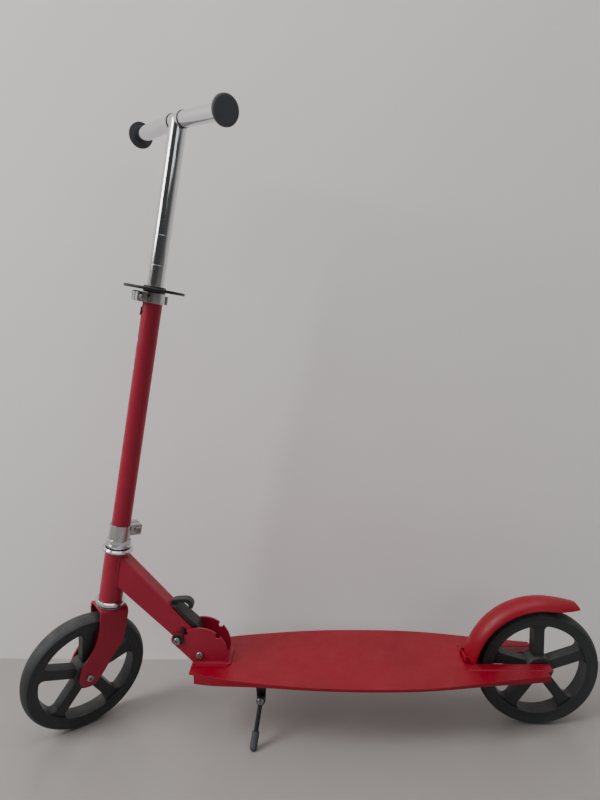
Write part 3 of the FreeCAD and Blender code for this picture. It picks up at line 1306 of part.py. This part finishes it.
def main():
    os.makedirs("parts", exist_ok=True)
    solids = [(name, FRAMES[frame], shape) for name, frame, shape in pieces()]
    placed = []
    for name, placement, shape in solids:
        copy = shape.copy()
        copy.Placement = placement.multiply(copy.Placement)
        placed.append((name, copy))
    box = FreeCAD.BoundBox()
    for _, shape in placed:
        box.add(shape.optimalBoundingBox(False, False))
    shift = vec(-0.5 * (box.XMin + box.XMax), -0.5 * (box.YMin + box.YMax), 0)
    for name, shape in placed:
        shape.translate(shift)
        shape.exportStep("parts/" + name + ".step")
        print("node", name, "solids", len(shape.Solids), "volume", round(shape.Volume, 1),
              "valid", shape.isValid())
    print("size", round(box.XLength, 2), round(box.YLength, 2), round(box.ZLength, 2), "low", round(box.ZMin, 3))
    print("shift", round(shift.x, 4), round(shift.y, 4))
    for name, frame, point, axis in joint_lines():
        at = FRAMES[frame].multVec(point).add(shift)
        way = FRAMES[frame].Rotation.multVec(axis).normalize()
        print("joint", name, round(at.x, 4), round(at.y, 4), round(at.z, 4),
              round(way.x, 7), round(way.y, 7), round(way.z, 7))


main()
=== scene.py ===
import json
import math

import bmesh
import bpy
from mathutils import Matrix, Vector


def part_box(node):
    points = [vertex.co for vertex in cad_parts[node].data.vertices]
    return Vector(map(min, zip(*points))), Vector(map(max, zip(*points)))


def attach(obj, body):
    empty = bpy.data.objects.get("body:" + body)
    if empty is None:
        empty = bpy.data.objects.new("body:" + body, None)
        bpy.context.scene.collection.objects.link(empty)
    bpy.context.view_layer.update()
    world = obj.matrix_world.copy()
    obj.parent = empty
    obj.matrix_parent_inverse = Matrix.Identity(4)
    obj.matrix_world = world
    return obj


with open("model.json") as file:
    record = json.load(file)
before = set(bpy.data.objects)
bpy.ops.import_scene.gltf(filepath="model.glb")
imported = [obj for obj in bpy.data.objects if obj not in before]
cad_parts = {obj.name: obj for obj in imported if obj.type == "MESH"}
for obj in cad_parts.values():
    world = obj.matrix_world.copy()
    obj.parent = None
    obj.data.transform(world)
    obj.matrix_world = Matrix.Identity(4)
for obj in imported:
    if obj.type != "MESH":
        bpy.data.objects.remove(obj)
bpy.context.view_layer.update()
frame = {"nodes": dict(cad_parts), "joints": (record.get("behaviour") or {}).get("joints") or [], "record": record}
NODES = frame["nodes"]
RECORD = frame["record"]
JOINTS = {joint["name"]: joint for joint in frame["joints"]}

# ---- places taken from the CAD model ----


def middle(node):
    low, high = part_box(node)
    return (low + high) * 0.5


REAR_HUB = Vector(JOINTS["rear_wheel_spin"]["pos_m"])
REAR_AXLE = Vector(JOINTS["rear_wheel_spin"]["axis"]).normalized()
FRONT_HUB = Vector(JOINTS["front_wheel_spin"]["pos_m"])
FRONT_AXLE = Vector(JOINTS["front_wheel_spin"]["axis"]).normalized()
STEER_AXIS = Vector(JOINTS["steering_turn"]["axis"]).normalized()

# ---- camera ----

CAMERA_OFFSET = Vector((-0.37565, -0.90076, 0.52433))
CAMERA_YAW = math.radians(-1.0)
CAMERA_PITCH = math.radians(5.0)
CAMERA_ROLL = math.radians(-0.29)
CAMERA_LENS = 33.68


def make_camera():
    data = bpy.data.cameras.new("camera")
    data.sensor_fit = "HORIZONTAL"
    data.sensor_width = 36.0
    data.lens = CAMERA_LENS
    data.clip_end = 100.0
    camera = bpy.data.objects.new("camera", data)
    bpy.context.scene.collection.objects.link(camera)
    forward = Vector((math.sin(CAMERA_YAW) * math.cos(CAMERA_PITCH),
                      math.cos(CAMERA_YAW) * math.cos(CAMERA_PITCH),
                      -math.sin(CAMERA_PITCH)))
    right = forward.cross(Vector((0, 0, 1))).normalized()
    up = right.cross(forward)
    turned_right = right * math.cos(CAMERA_ROLL) + up * math.sin(CAMERA_ROLL)
    turned_up = up * math.cos(CAMERA_ROLL) - right * math.sin(CAMERA_ROLL)
    basis = Matrix((turned_right, turned_up, -forward)).transposed().to_4x4()
    basis.translation = REAR_HUB + CAMERA_OFFSET
    camera.matrix_world = basis
    bpy.context.scene.camera = camera
    return camera


make_camera()

# ---- node material helpers ----


class Builder:
    """A material's node tree, with short calls for the nodes that recur."""

    def __init__(self, name):
        self.material = bpy.data.materials.new(name)
        self.material.use_nodes = True
        self.tree = self.material.node_tree
        self.shader = self.tree.nodes["Principled BSDF"]
        self.place = self.add("ShaderNodeTexCoord")

    def add(self, kind, **settings):
        node = self.tree.nodes.new(kind)
        for key, value in settings.items():
            setattr(node, key, value)
        return node

    def link(self, out, into):
        self.tree.links.new(out, into)

    def noise(self, scale, detail=4.0, rough=0.55, stretch=None, distortion=0.0):
        node = self.add("ShaderNodeTexNoise")
        node.inputs["Scale"].default_value = scale
        node.inputs["Detail"].default_value = detail
        node.inputs["Roughness"].default_value = rough
        node.inputs["Distortion"].default_value = distortion
        source = self.place.outputs["Object"]
        if stretch:
            mapping = self.add("ShaderNodeMapping")
            mapping.inputs["Scale"].default_value = stretch
            self.link(source, mapping.inputs["Vector"])
            source = mapping.outputs["Vector"]
        self.link(source, node.inputs["Vector"])
        return node.outputs["Fac"]

    def ramp(self, fac, stops):
        node = self.add("ShaderNodeValToRGB")
        elements = node.color_ramp.elements
        while len(elements) < len(stops):
            elements.new(0.5)
        for element, (position, colour) in zip(elements, stops):
            element.position = position
            element.color = (*colour, 1.0) if len(colour) == 3 else colour
        self.link(fac, node.inputs["Fac"])
        return node.outputs["Color"]

    def levels(self, fac, low, high, to_low, to_high):
        node = self.add("ShaderNodeMapRange")
        node.inputs["From Min"].default_value = low
        node.inputs["From Max"].default_value = high
        node.inputs["To Min"].default_value = to_low
        node.inputs["To Max"].default_value = to_high
        self.link(fac, node.inputs["Value"])
        return node.outputs["Result"]

    def math(self, operation, a, b):
        node = self.add("ShaderNodeMath", operation=operation)
        for socket, value in zip(node.inputs, (a, b)):
            if isinstance(value, (int, float)):
                socket.default_value = value
            else:
                self.link(value, socket)
        return node.outputs[0]

    def mix(self, fac, a, b):
        node = self.add("ShaderNodeMix", data_type="RGBA")
        for index, value in ((0, fac), (6, a), (7, b)):
            if isinstance(value, (int, float)):
                node.inputs[index].default_value = value
            elif isinstance(value, tuple):
                node.inputs[index].default_value = (*value, 1.0)
            else:
                self.link(value, node.inputs[index])
        return node.outputs[2]

    def edge(self, radius):
        """1 on sharp edges and 0 on flat faces."""
        bevel = self.add("ShaderNodeBevel", samples=6)
        bevel.inputs["Radius"].default_value = radius
        geometry = self.add("ShaderNodeNewGeometry")
        dot = self.add("ShaderNodeVectorMath", operation="DOT_PRODUCT")
        self.link(bevel.outputs["Normal"], dot.inputs[0])
        self.link(geometry.outputs["Normal"], dot.inputs[1])
        return self.levels(dot.outputs["Value"], 0.995, 0.86, 0.0, 1.0)

    def facing_up(self):
        """1 on faces that look up, where dust settles and where the red coat gets its painted sheen."""
        geometry = self.add("ShaderNodeNewGeometry")
        split = self.add("ShaderNodeSeparateXYZ")
        self.link(geometry.outputs["Normal"], split.inputs[0])
        return self.levels(split.outputs["Z"], 0.3, 0.95, 0.0, 1.0)

    def bump(self, height, strength, distance, rounding=0.0):
        node = self.add("ShaderNodeBump")
        node.inputs["Strength"].default_value = strength
        node.inputs["Distance"].default_value = distance
        self.link(height, node.inputs["Height"])
        if rounding:
            bevel = self.add("ShaderNodeBevel", samples=6)
            bevel.inputs["Radius"].default_value = rounding
            self.link(bevel.outputs["Normal"], node.inputs["Normal"])
        self.link(node.outputs["Normal"], self.shader.inputs["Normal"])

    def set(self, **values):
        for key, value in values.items():
            socket = self.shader.inputs[key.replace("_", " ")]
            if isinstance(value, (int, float)):
                socket.default_value = value
            elif isinstance(value, tuple):
                socket.default_value = (*value, 1.0)
            else:
                self.link(value, socket)
        return self.material


def powder_coat(name, colour, dark, worn=0.3, dust_and_sheen_amount=0.16):
    """Satin red coat: orange-peel bump, slow colour drift, dust with a painted sheen on top faces, and rubbed
    edges.
    """
    b = Builder(name)
    drift = b.noise(9.0, 3.0)
    base = b.ramp(drift, [(0.3, dark), (0.7, colour)])
    fine = b.noise(90.0, 4.0)
    base = b.mix(b.levels(fine, 0.45, 0.85, 0.0, 0.22), base, tuple(c * 0.72 for c in colour))
    scuff = b.noise(260.0, 5.0, 0.7, stretch=(0.25, 1.0, 1.0))
    rubbed = b.math("MULTIPLY", b.levels(scuff, 0.62, 0.74, 0.0, worn),
                    b.levels(drift, 0.42, 0.62, 0.0, 1.0))
    base = b.mix(rubbed, base, (0.40, 0.10, 0.12))
    # Upward faces turn a duller, paler pink: partly dust, partly a painted sheen of light on the tops.
    dust_and_sheen = b.math("MULTIPLY", b.facing_up(), b.levels(b.noise(34.0, 6.0, 0.65), 0.42, 0.8, 0.0, dust_and_sheen_amount))
    base = b.mix(dust_and_sheen, base, (0.34, 0.08, 0.09))
    edge = b.math("MULTIPLY", b.edge(0.0011), b.levels(b.noise(130.0, 5.0, 0.7), 0.50, 0.66, 0.0, 0.75))
    base = b.mix(edge, base, (0.11, 0.05, 0.05))
    rough = b.levels(fine, 0.3, 0.7, 0.33, 0.47)
    rough = b.math("ADD", rough, b.math("MULTIPLY", dust_and_sheen, 0.5))
    b.bump(b.noise(420.0, 2.0), 0.10, 0.0004, rounding=0.0009)
    return b.set(Base_Color=base, Roughness=rough, Coat_Weight=0.04, Coat_Roughness=0.30, IOR=1.42)


def bright_metal(name, colour, rough_low, rough_high, brush=None, brush_strength=0.06,
                 tarnish=(0.30, 0.27, 0.24)):
    """Bare or plated metal with faint smears, specks and, if wanted, brush lines."""
    b = Builder(name)
    smear = b.noise(22.0, 6.0, 0.6, stretch=(1.0, 1.0, 0.35), distortion=0.6)
    speck = b.noise(420.0, 3.0, 0.6)
    base = b.mix(b.levels(smear, 0.5, 0.85, 0.0, 0.35), colour, tuple(c * 0.75 for c in colour))
    base = b.mix(b.levels(speck, 0.70, 0.78, 0.0, 0.7), base, tarnish)
    rough = b.levels(smear, 0.35, 0.75, rough_low, rough_high)
    line = b.noise(60.0, 3.0, 0.6, stretch=brush) if brush else b.noise(180.0, 2.0)
    b.bump(line, brush_strength, 0.0003, rounding=0.0005)
    return b.set(Base_Color=base, Roughness=rough, Metallic=1.0)


def moulded(name, colour, light, rough_low, rough_high, grain=600.0, depth=0.12, dust_and_sheen_amount=0.3,
            rounding=0.0009):
    """Moulded plastic or rubber: fine grain, a little dust and paler rubbed edges."""
    b = Builder(name)
    cloud = b.noise(14.0, 5.0, 0.6)
    base = b.mix(b.levels(cloud, 0.35, 0.75, 0.0, 0.6), colour, light)
    dust_and_sheen = b.math("MULTIPLY", b.facing_up(), b.levels(b.noise(48.0, 6.0, 0.7), 0.38, 0.8, 0.0, dust_and_sheen_amount))
    base = b.mix(dust_and_sheen, base, (0.25, 0.235, 0.21))
    edge = b.math("MULTIPLY", b.edge(0.0010), b.levels(b.noise(110.0, 4.0, 0.7), 0.35, 0.7, 0.1, 0.6))
    base = b.mix(edge, base, tuple(min(1.0, c * 2.4 + 0.01) for c in light))
    rough = b.math("ADD", b.levels(cloud, 0.3, 0.7, rough_low, rough_high), b.math("MULTIPLY", dust_and_sheen, 0.4))
    b.bump(b.noise(grain, 3.0), depth, 0.0003, rounding=rounding)
    return b.set(Base_Color=base, Roughness=rough, IOR=1.5)


MATERIALS = {
    "red_deck": powder_coat("red_deck_coat", (0.305, 0.000, 0.015), (0.255, 0.000, 0.012)),
    "red_tube": powder_coat("red_tube_coat", (0.375, 0.014, 0.042), (0.31, 0.011, 0.036),
                            worn=0.25, dust_and_sheen_amount=0.12),
    "chrome": bright_metal("chrome_plate", (0.68, 0.69, 0.71), 0.10, 0.20, brush_strength=0.02),
    "zinc_steel": bright_metal("zinc_plate", (0.36, 0.35, 0.34), 0.24, 0.40),
    "clamp_alloy": bright_metal("brushed_alloy", (0.52, 0.52, 0.53), 0.18, 0.32, brush=(1.0, 1.0, 14.0)),
    "black_wheel": moulded("wheel_moulding", (0.020, 0.023, 0.026), (0.030, 0.034, 0.038), 0.36, 0.52),
    "black_tyre": moulded("tyre_moulding", (0.024, 0.027, 0.030), (0.038, 0.042, 0.046),
                          0.50, 0.68, dust_and_sheen_amount=0.4),
    "black_plastic": moulded("black_nylon", (0.012, 0.012, 0.013), (0.020, 0.020, 0.021), 0.36, 0.50),
    "black_rubber": moulded("black_rubber_grain", (0.062, 0.066, 0.076), (0.084, 0.090, 0.102),
                            0.55, 0.72, dust_and_sheen_amount=0.15),
    "black_steel": moulded("black_enamel", (0.012, 0.012, 0.013), (0.022, 0.021, 0.021),
                           0.30, 0.44, dust_and_sheen_amount=0.2),
    "white_plastic": moulded("white_nylon", (0.62, 0.60, 0.56), (0.70, 0.69, 0.66), 0.40, 0.55, dust_and_sheen_amount=0.15),
}
SLOTS = {entry["node"]: entry["material_slot"] for entry in RECORD["subparts"]}


def dress_nodes():
    """Every CAD node gets its slot's detailed material."""
    for node, obj in NODES.items():
        material = MATERIALS[SLOTS[node]]
        if not obj.material_slots:
            obj.data.materials.append(material)
        for place in obj.material_slots:
            place.material = material


dress_nodes()

# ---- frames of the CAD model, for pieces made here ----

FOLD_SLOPE = math.radians(48.04)
FOLD_AT = (-0.558, 0.128)
HEAD_TILT = math.radians(10.57)
FORK_OFFSET = 0.0267

SLIDE = Vector(JOINTS["lock_catch_slide"]["axis"]).normalized()
ACROSS = SLIDE.cross(REAR_AXLE)
UPRIGHT_X = -math.cos(FOLD_SLOPE) * SLIDE - math.sin(FOLD_SLOPE) * ACROSS
UPRIGHT_Z = math.sin(FOLD_SLOPE) * SLIDE - math.cos(FOLD_SLOPE) * ACROSS
FOLD_POINT = Vector(JOINTS["stem_fold"]["pos_m"])


def upright(x, y, z):
    """A point given with the scooter standing upright: x back from the rear axle, z above the floor."""
    return FOLD_POINT + (x - FOLD_AT[0]) * UPRIGHT_X + y * REAR_AXLE + (z - FOLD_AT[1]) * UPRIGHT_Z


STEERED_X = FRONT_AXLE.cross(STEER_AXIS)
STEERED_ORIGIN = FRONT_HUB + FORK_OFFSET * STEERED_X


def new_piece(name, mesh_builder, material_slot, body, smooth=True):
    """A mesh piece that rides on a body and takes its finish from a slot."""
    mesh = bpy.data.meshes.new(name)
    mesh_builder.to_mesh(mesh)
    mesh_builder.free()
    for face in mesh.polygons:
        face.use_smooth = smooth
    mesh.materials.append(MATERIALS[material_slot])
    obj = bpy.data.objects.new(name, mesh)
    bpy.context.scene.collection.objects.link(obj)
    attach(obj, body)
    return obj


def even_points(points, step):
    """The same path with points a set distance apart."""
    out = [points[0].copy()]
    left = step
    for a, b in zip(points, points[1:]):
        length = (b - a).length
        at = left
        while at <= length:
            out.append(a.lerp(b, at / length))
            at += step
        left = at - length
    return out


WELD_STEP = 0.0004
WELD_RIPPLE = 0.0021
WELD_SIDES = 10


def weld(name, path, radius, body, closed=False, slot="red_tube"):
    """A rippled, painted weld bead along a path."""
    points = even_points(path, WELD_STEP)
    bm = bmesh.new()
    rings = []
    count = len(points)
    for index, point in enumerate(points):
        before = points[index - 1] if index or closed else points[index]
        after = points[(index + 1) % count] if index + 1 < count or closed else points[index]
        along = (after - before).normalized()
        side = along.orthogonal().normalized()
        if rings:
            side = (last_side - along * last_side.dot(along)).normalized()
        last_side = side
        other = along.cross(side)
        travel = index * WELD_STEP
        wave = abs(math.sin(math.pi * travel / WELD_RIPPLE))
        size = radius * (0.84 + 0.20 * wave + 0.05 * math.sin(travel * 900.0))
        if not closed:
            size *= min(1.0, 0.35 + min(index, count - 1 - index) / 5.0)
        ring = []
        for step in range(WELD_SIDES):
            angle = 2 * math.pi * step / WELD_SIDES
            ring.append(bm.verts.new(point + size * (math.cos(angle) * side + math.sin(angle) * other)))
        rings.append(ring)
    spans = list(zip(rings, rings[1:]))
    if closed:
        spans.append((rings[-1], rings[0]))
    for a, b in spans:
        for step in range(WELD_SIDES):
            following = (step + 1) % WELD_SIDES
            bm.faces.new((a[step], a[following], b[following], b[step]))
    if not closed:
        bm.faces.new(rings[0][::-1])
        bm.faces.new(rings[-1])
    bmesh.ops.recalc_face_normals(bm, faces=bm.faces)
    return new_piece(name, bm, slot, body)


HEAD_RADIUS = 0.019
TUBE_HALF = 0.016
HEAD_FOOT = (-0.7566 + FORK_OFFSET * math.cos(HEAD_TILT), 0.1 - FORK_OFFSET * math.sin(HEAD_TILT))
TOP_FACE = (-0.675, 0.2876, math.tan(math.radians(48.04)))
BOTTOM_FACE = (-0.6765, 0.2313, math.tan(math.radians(44.15)))


def on_head_tube(y, face):
    """Where a face line of the down tube meets the head tube, y off the middle; gives (u, s)."""
    x0, z0, slope = face
    u = math.sqrt(HEAD_RADIUS ** 2 - y ** 2)
    sin_t, cos_t = math.sin(HEAD_TILT), math.cos(HEAD_TILT)
    s = (z0 - HEAD_FOOT[1] + u * sin_t - slope * (HEAD_FOOT[0] + u * cos_t - x0)) / (cos_t + slope * sin_t)
    return u, s


def head_point(u, y, s):
    sin_t, cos_t = math.sin(HEAD_TILT), math.cos(HEAD_TILT)
    return upright(HEAD_FOOT[0] + u * cos_t + s * sin_t, y, HEAD_FOOT[1] - u * sin_t + s * cos_t)


def head_weld():
    """The bead right round the joint of the down tube and the head tube."""
    steps = 16
    path = []
    for face, sign in ((TOP_FACE, 1.0), (BOTTOM_FACE, -1.0)):
        for step in range(steps + 1):
            y = sign * TUBE_HALF * (2.0 * step / steps - 1.0)
            u, s = on_head_tube(y, face)
            path.append(head_point(u, y, s))
    path.append(path[0].copy())
    weld("head_weld", path, 0.0013, "stem_frame")


BASE_TOP = 0.115
BASE_MIDDLE = 0.1125
PLATE_SIDE = 0.0202
BASE_SIDE = 0.0250
BASE_REAR = -0.5070
REAR_WELD_HALF = 0.021
PLATE_WELD_RADIUS = 0.0012
BASE_WELD_RADIUS = 0.0009


def bracket_welds():
    """Beads along the feet of the bracket's side plates and round the edges of its base plate."""
    for side, label in ((-1.0, "left"), (1.0, "right")):
        foot = side * PLATE_SIDE
        edge = side * BASE_SIDE
        plate_path = [upright(-0.5665, foot, BASE_TOP), upright(-0.5145, foot, BASE_TOP)]
        base_path = [upright(-0.5660, edge, BASE_MIDDLE), upright(-0.5105, edge, BASE_MIDDLE)]
        weld("plate_weld_" + label, plate_path, PLATE_WELD_RADIUS, "deck")
        weld("base_weld_" + label, base_path, BASE_WELD_RADIUS, "deck", slot="red_deck")
    rear_path = [upright(BASE_REAR, -REAR_WELD_HALF, BASE_MIDDLE),
                 upright(BASE_REAR, REAR_WELD_HALF, BASE_MIDDLE)]
    weld("base_weld_rear", rear_path, BASE_WELD_RADIUS, "deck", slot="red_deck")


MM = 0.001


def lathe(name, centre, axis, profile, slot, body, sides=72):
    """A turned ring or cap: profile is a closed loop of (radius, distance along the axis)."""
    axis = axis.normalized()
    side = axis.orthogonal().normalized()
    other = axis.cross(side)
    bm = bmesh.new()
    loops = []
    for step in range(sides):
        angle = 2 * math.pi * step / sides
        outward = math.cos(angle) * side + math.sin(angle) * other
        loops.append([bm.verts.new(centre + radius * outward + along * axis) for radius, along in profile])
    count = len(profile)
    for step in range(sides):
        a, b = loops[step], loops[(step + 1) % sides]
        for index in range(count):
            following = (index + 1) % count
            bm.faces.new((a[index], a[following], b[following], b[index]))
    bmesh.ops.recalc_face_normals(bm, faces=bm.faces)
    return new_piece(name, bm, slot, body)


def tyre_parting_line(name, hub, axis, radius, body):
    """The fine raised line round the middle of the tread, left by the mould."""
    profile = [(radius - 0.30 * MM, -0.45 * MM), (radius - 0.02 * MM, -0.12 * MM),
               (radius - 0.02 * MM, 0.12 * MM), (radius - 0.30 * MM, 0.45 * MM)]
    lathe(name, hub, axis, profile, "black_tyre", body, sides=144)


def height_hole_grommet():
    """The dark plastic ring round the top height hole, standing a little proud of the tube."""
    joint = JOINTS["height_button_press"]
    inward = Vector(joint["axis"]).normalized()
    press = Vector(joint["pos_m"]) if "pos_m" in joint else middle("snap_button")
    along = (press - STEERED_ORIGIN).dot(STEER_AXIS)
    centre = STEERED_ORIGIN + along * STEER_AXIS
    outward = inward if (press - centre).dot(inward) > 0 else -inward
    across = outward.cross(STEER_AXIS)
    bm = bmesh.new()
    sides, tube = 48, 15.0 * MM
    loops = []
    for step in range(sides):
        angle = 2 * math.pi * step / sides
        direction = math.cos(angle) * across + math.sin(angle) * STEER_AXIS
        rings = []
        for radius, lift in ((4.45, -1.2), (4.45, 1.5), (4.9, 2.0), (5.7, 1.9), (6.3, 1.2), (6.4, 0.02)):
            side = radius * MM * math.cos(angle)
            surface = math.sqrt(tube ** 2 - side ** 2)
            height = surface + lift * MM if lift < 1.0 else tube + lift * MM - 0.5 * (tube - surface)
            rings.append(bm.verts.new(centre + radius * MM * direction + height * outward))
        loops.append(rings)
    for step in range(sides):
        a, b = loops[step], loops[(step + 1) % sides]
        for index in range(len(a)):
            following = (index + 1) % len(a)
            bm.faces.new((a[index], a[following], b[following], b[index]))
    bmesh.ops.recalc_face_normals(bm, faces=bm.faces)
    new_piece("height_hole_grommet", bm, "black_plastic", "steering")


def seam_bands():
    """The dark bands that cover the two seams of the handlebar."""
    rough_axis = (middle("bar_right") - middle("bar_left")).normalized()
    points = [vertex.co for vertex in NODES["bar_seam_rings"].data.vertices]
    split = middle("bar_seam_rings").dot(rough_axis)
    sides = [[p for p in points if p.dot(rough_axis) < split],
             [p for p in points if p.dot(rough_axis) >= split]]
    centres = [sum(side, Vector()) / len(side) for side in sides]
    axis = (centres[1] - centres[0]).normalized()
    for label, side, centre in zip(("near", "far"), sides, centres):
        outer = max((p - centre - axis * (p - centre).dot(axis)).length for p in side)
        profile = [(outer - 0.8 * MM, -1.2 * MM), (outer + 0.10 * MM, -1.2 * MM),
                   (outer + 0.30 * MM, -0.7 * MM), (outer + 0.30 * MM, 0.7 * MM),
                   (outer + 0.10 * MM, 1.2 * MM), (outer - 0.8 * MM, 1.2 * MM)]
        lathe("seam_band_" + label, centre, axis, profile, "black_plastic", "handlebar")


head_weld()
bracket_welds()
height_hole_grommet()
seam_bands()
TYRE_RADIUS = 100.0 * MM
for label, hub, axis in (("rear", REAR_HUB, REAR_AXLE), ("front", FRONT_HUB, FRONT_AXLE)):
    tyre_parting_line(label + "_parting_line", hub, axis, TYRE_RADIUS, label + "_wheel")

# ---- stage ----


def plane(name, corners, material):
    mesh = bpy.data.meshes.new(name)
    mesh.from_pydata([tuple(c) for c in corners], [], [(0, 1, 2, 3)])
    mesh.materials.append(material)
    obj = bpy.data.objects.new(name, mesh)
    bpy.context.scene.collection.objects.link(obj)
    return obj


def plaster(name, colour, rough, bump_scale, strength):
    b = Builder(name)
    cloud = b.noise(1.3, 4.0)
    base = b.mix(b.levels(cloud, 0.3, 0.7, 0.0, 1.0), colour, tuple(c * 0.94 for c in colour))
    b.bump(b.noise(bump_scale, 4.0), strength, 0.002)
    return b.set(Base_Color=base, Roughness=rough)


FLOOR_HALF = 6.0
WALL_Y = REAR_HUB.y + 0.187
plane("floor", [(-FLOOR_HALF, -FLOOR_HALF, 0), (FLOOR_HALF, -FLOOR_HALF, 0),
                (FLOOR_HALF, WALL_Y, 0), (-FLOOR_HALF, WALL_Y, 0)],
      plaster("floor_tile", (0.40, 0.375, 0.365), 0.30, 30.0, 0.02))
plane("wall", [(-FLOOR_HALF, WALL_Y, 0), (FLOOR_HALF, WALL_Y, 0),
               (FLOOR_HALF, WALL_Y, 5.0), (-FLOOR_HALF, WALL_Y, 5.0)],
      plaster("wall_paint", (0.97, 0.94, 0.93), 0.8, 14.0, 0.25))

# ---- light ----


def area_light(name, position, target, width, height, power, colour=(1, 1, 1)):
    data = bpy.data.lights.new(name, "AREA")
    data.shape = "RECTANGLE"
    data.size = width
    data.size_y = height
    data.energy = power
    data.color = colour
    obj = bpy.data.objects.new(name, data)
    bpy.context.scene.collection.objects.link(obj)
    obj.location = position
    obj.rotation_euler = (Vector(target) - Vector(position)).to_track_quat("-Z", "Y").to_euler()
    return obj


area_light("key_light", (-2.6, -1.4, 2.5), (0, 0, 0.45), 1.5, 2.4, 86.0, (1.0, 0.99, 0.97))
area_light("fill_light", (1.6, -3.4, 1.9), (0, 0, 0.4), 2.2, 1.6, 16.0, (0.96, 0.98, 1.0))
area_light("top_light", (0.4, -0.9, 3.6), (0, 0.1, 0.4), 3.0, 1.8, 34.0)

world = bpy.context.scene.world or bpy.data.worlds.new("world")
bpy.context.scene.world = world
world.use_nodes = True


def room_light():
    """A soft room: paler overhead, dimmer low down, so that plated tubes have something to show."""
    tree = world.node_tree
    place = tree.nodes.new("ShaderNodeTexCoord")
    split = tree.nodes.new("ShaderNodeSeparateXYZ")
    ramp = tree.nodes.new("ShaderNodeValToRGB")
    half = tree.nodes.new("ShaderNodeMapRange")
    half.inputs["From Min"].default_value = -1.0
    tree.links.new(place.outputs["Generated"], split.inputs[0])
    tree.links.new(split.outputs["Y"], half.inputs["Value"])
    tree.links.new(half.outputs["Result"], ramp.inputs["Fac"])
    stops = [(0.0, 0.10), (0.30, 0.16), (0.45, 0.62), (1.0, 0.80)]
    elements = ramp.color_ramp.elements
    while len(elements) < len(stops):
        elements.new(0.5)
    for element, (position, grey) in zip(elements, stops):
        element.position = position
        element.color = (grey, grey * 0.99, grey * 0.97, 1.0)
    tree.links.new(ramp.outputs["Color"], tree.nodes["Background"].inputs["Color"])
    tree.nodes["Background"].inputs["Strength"].default_value = 0.55


room_light()
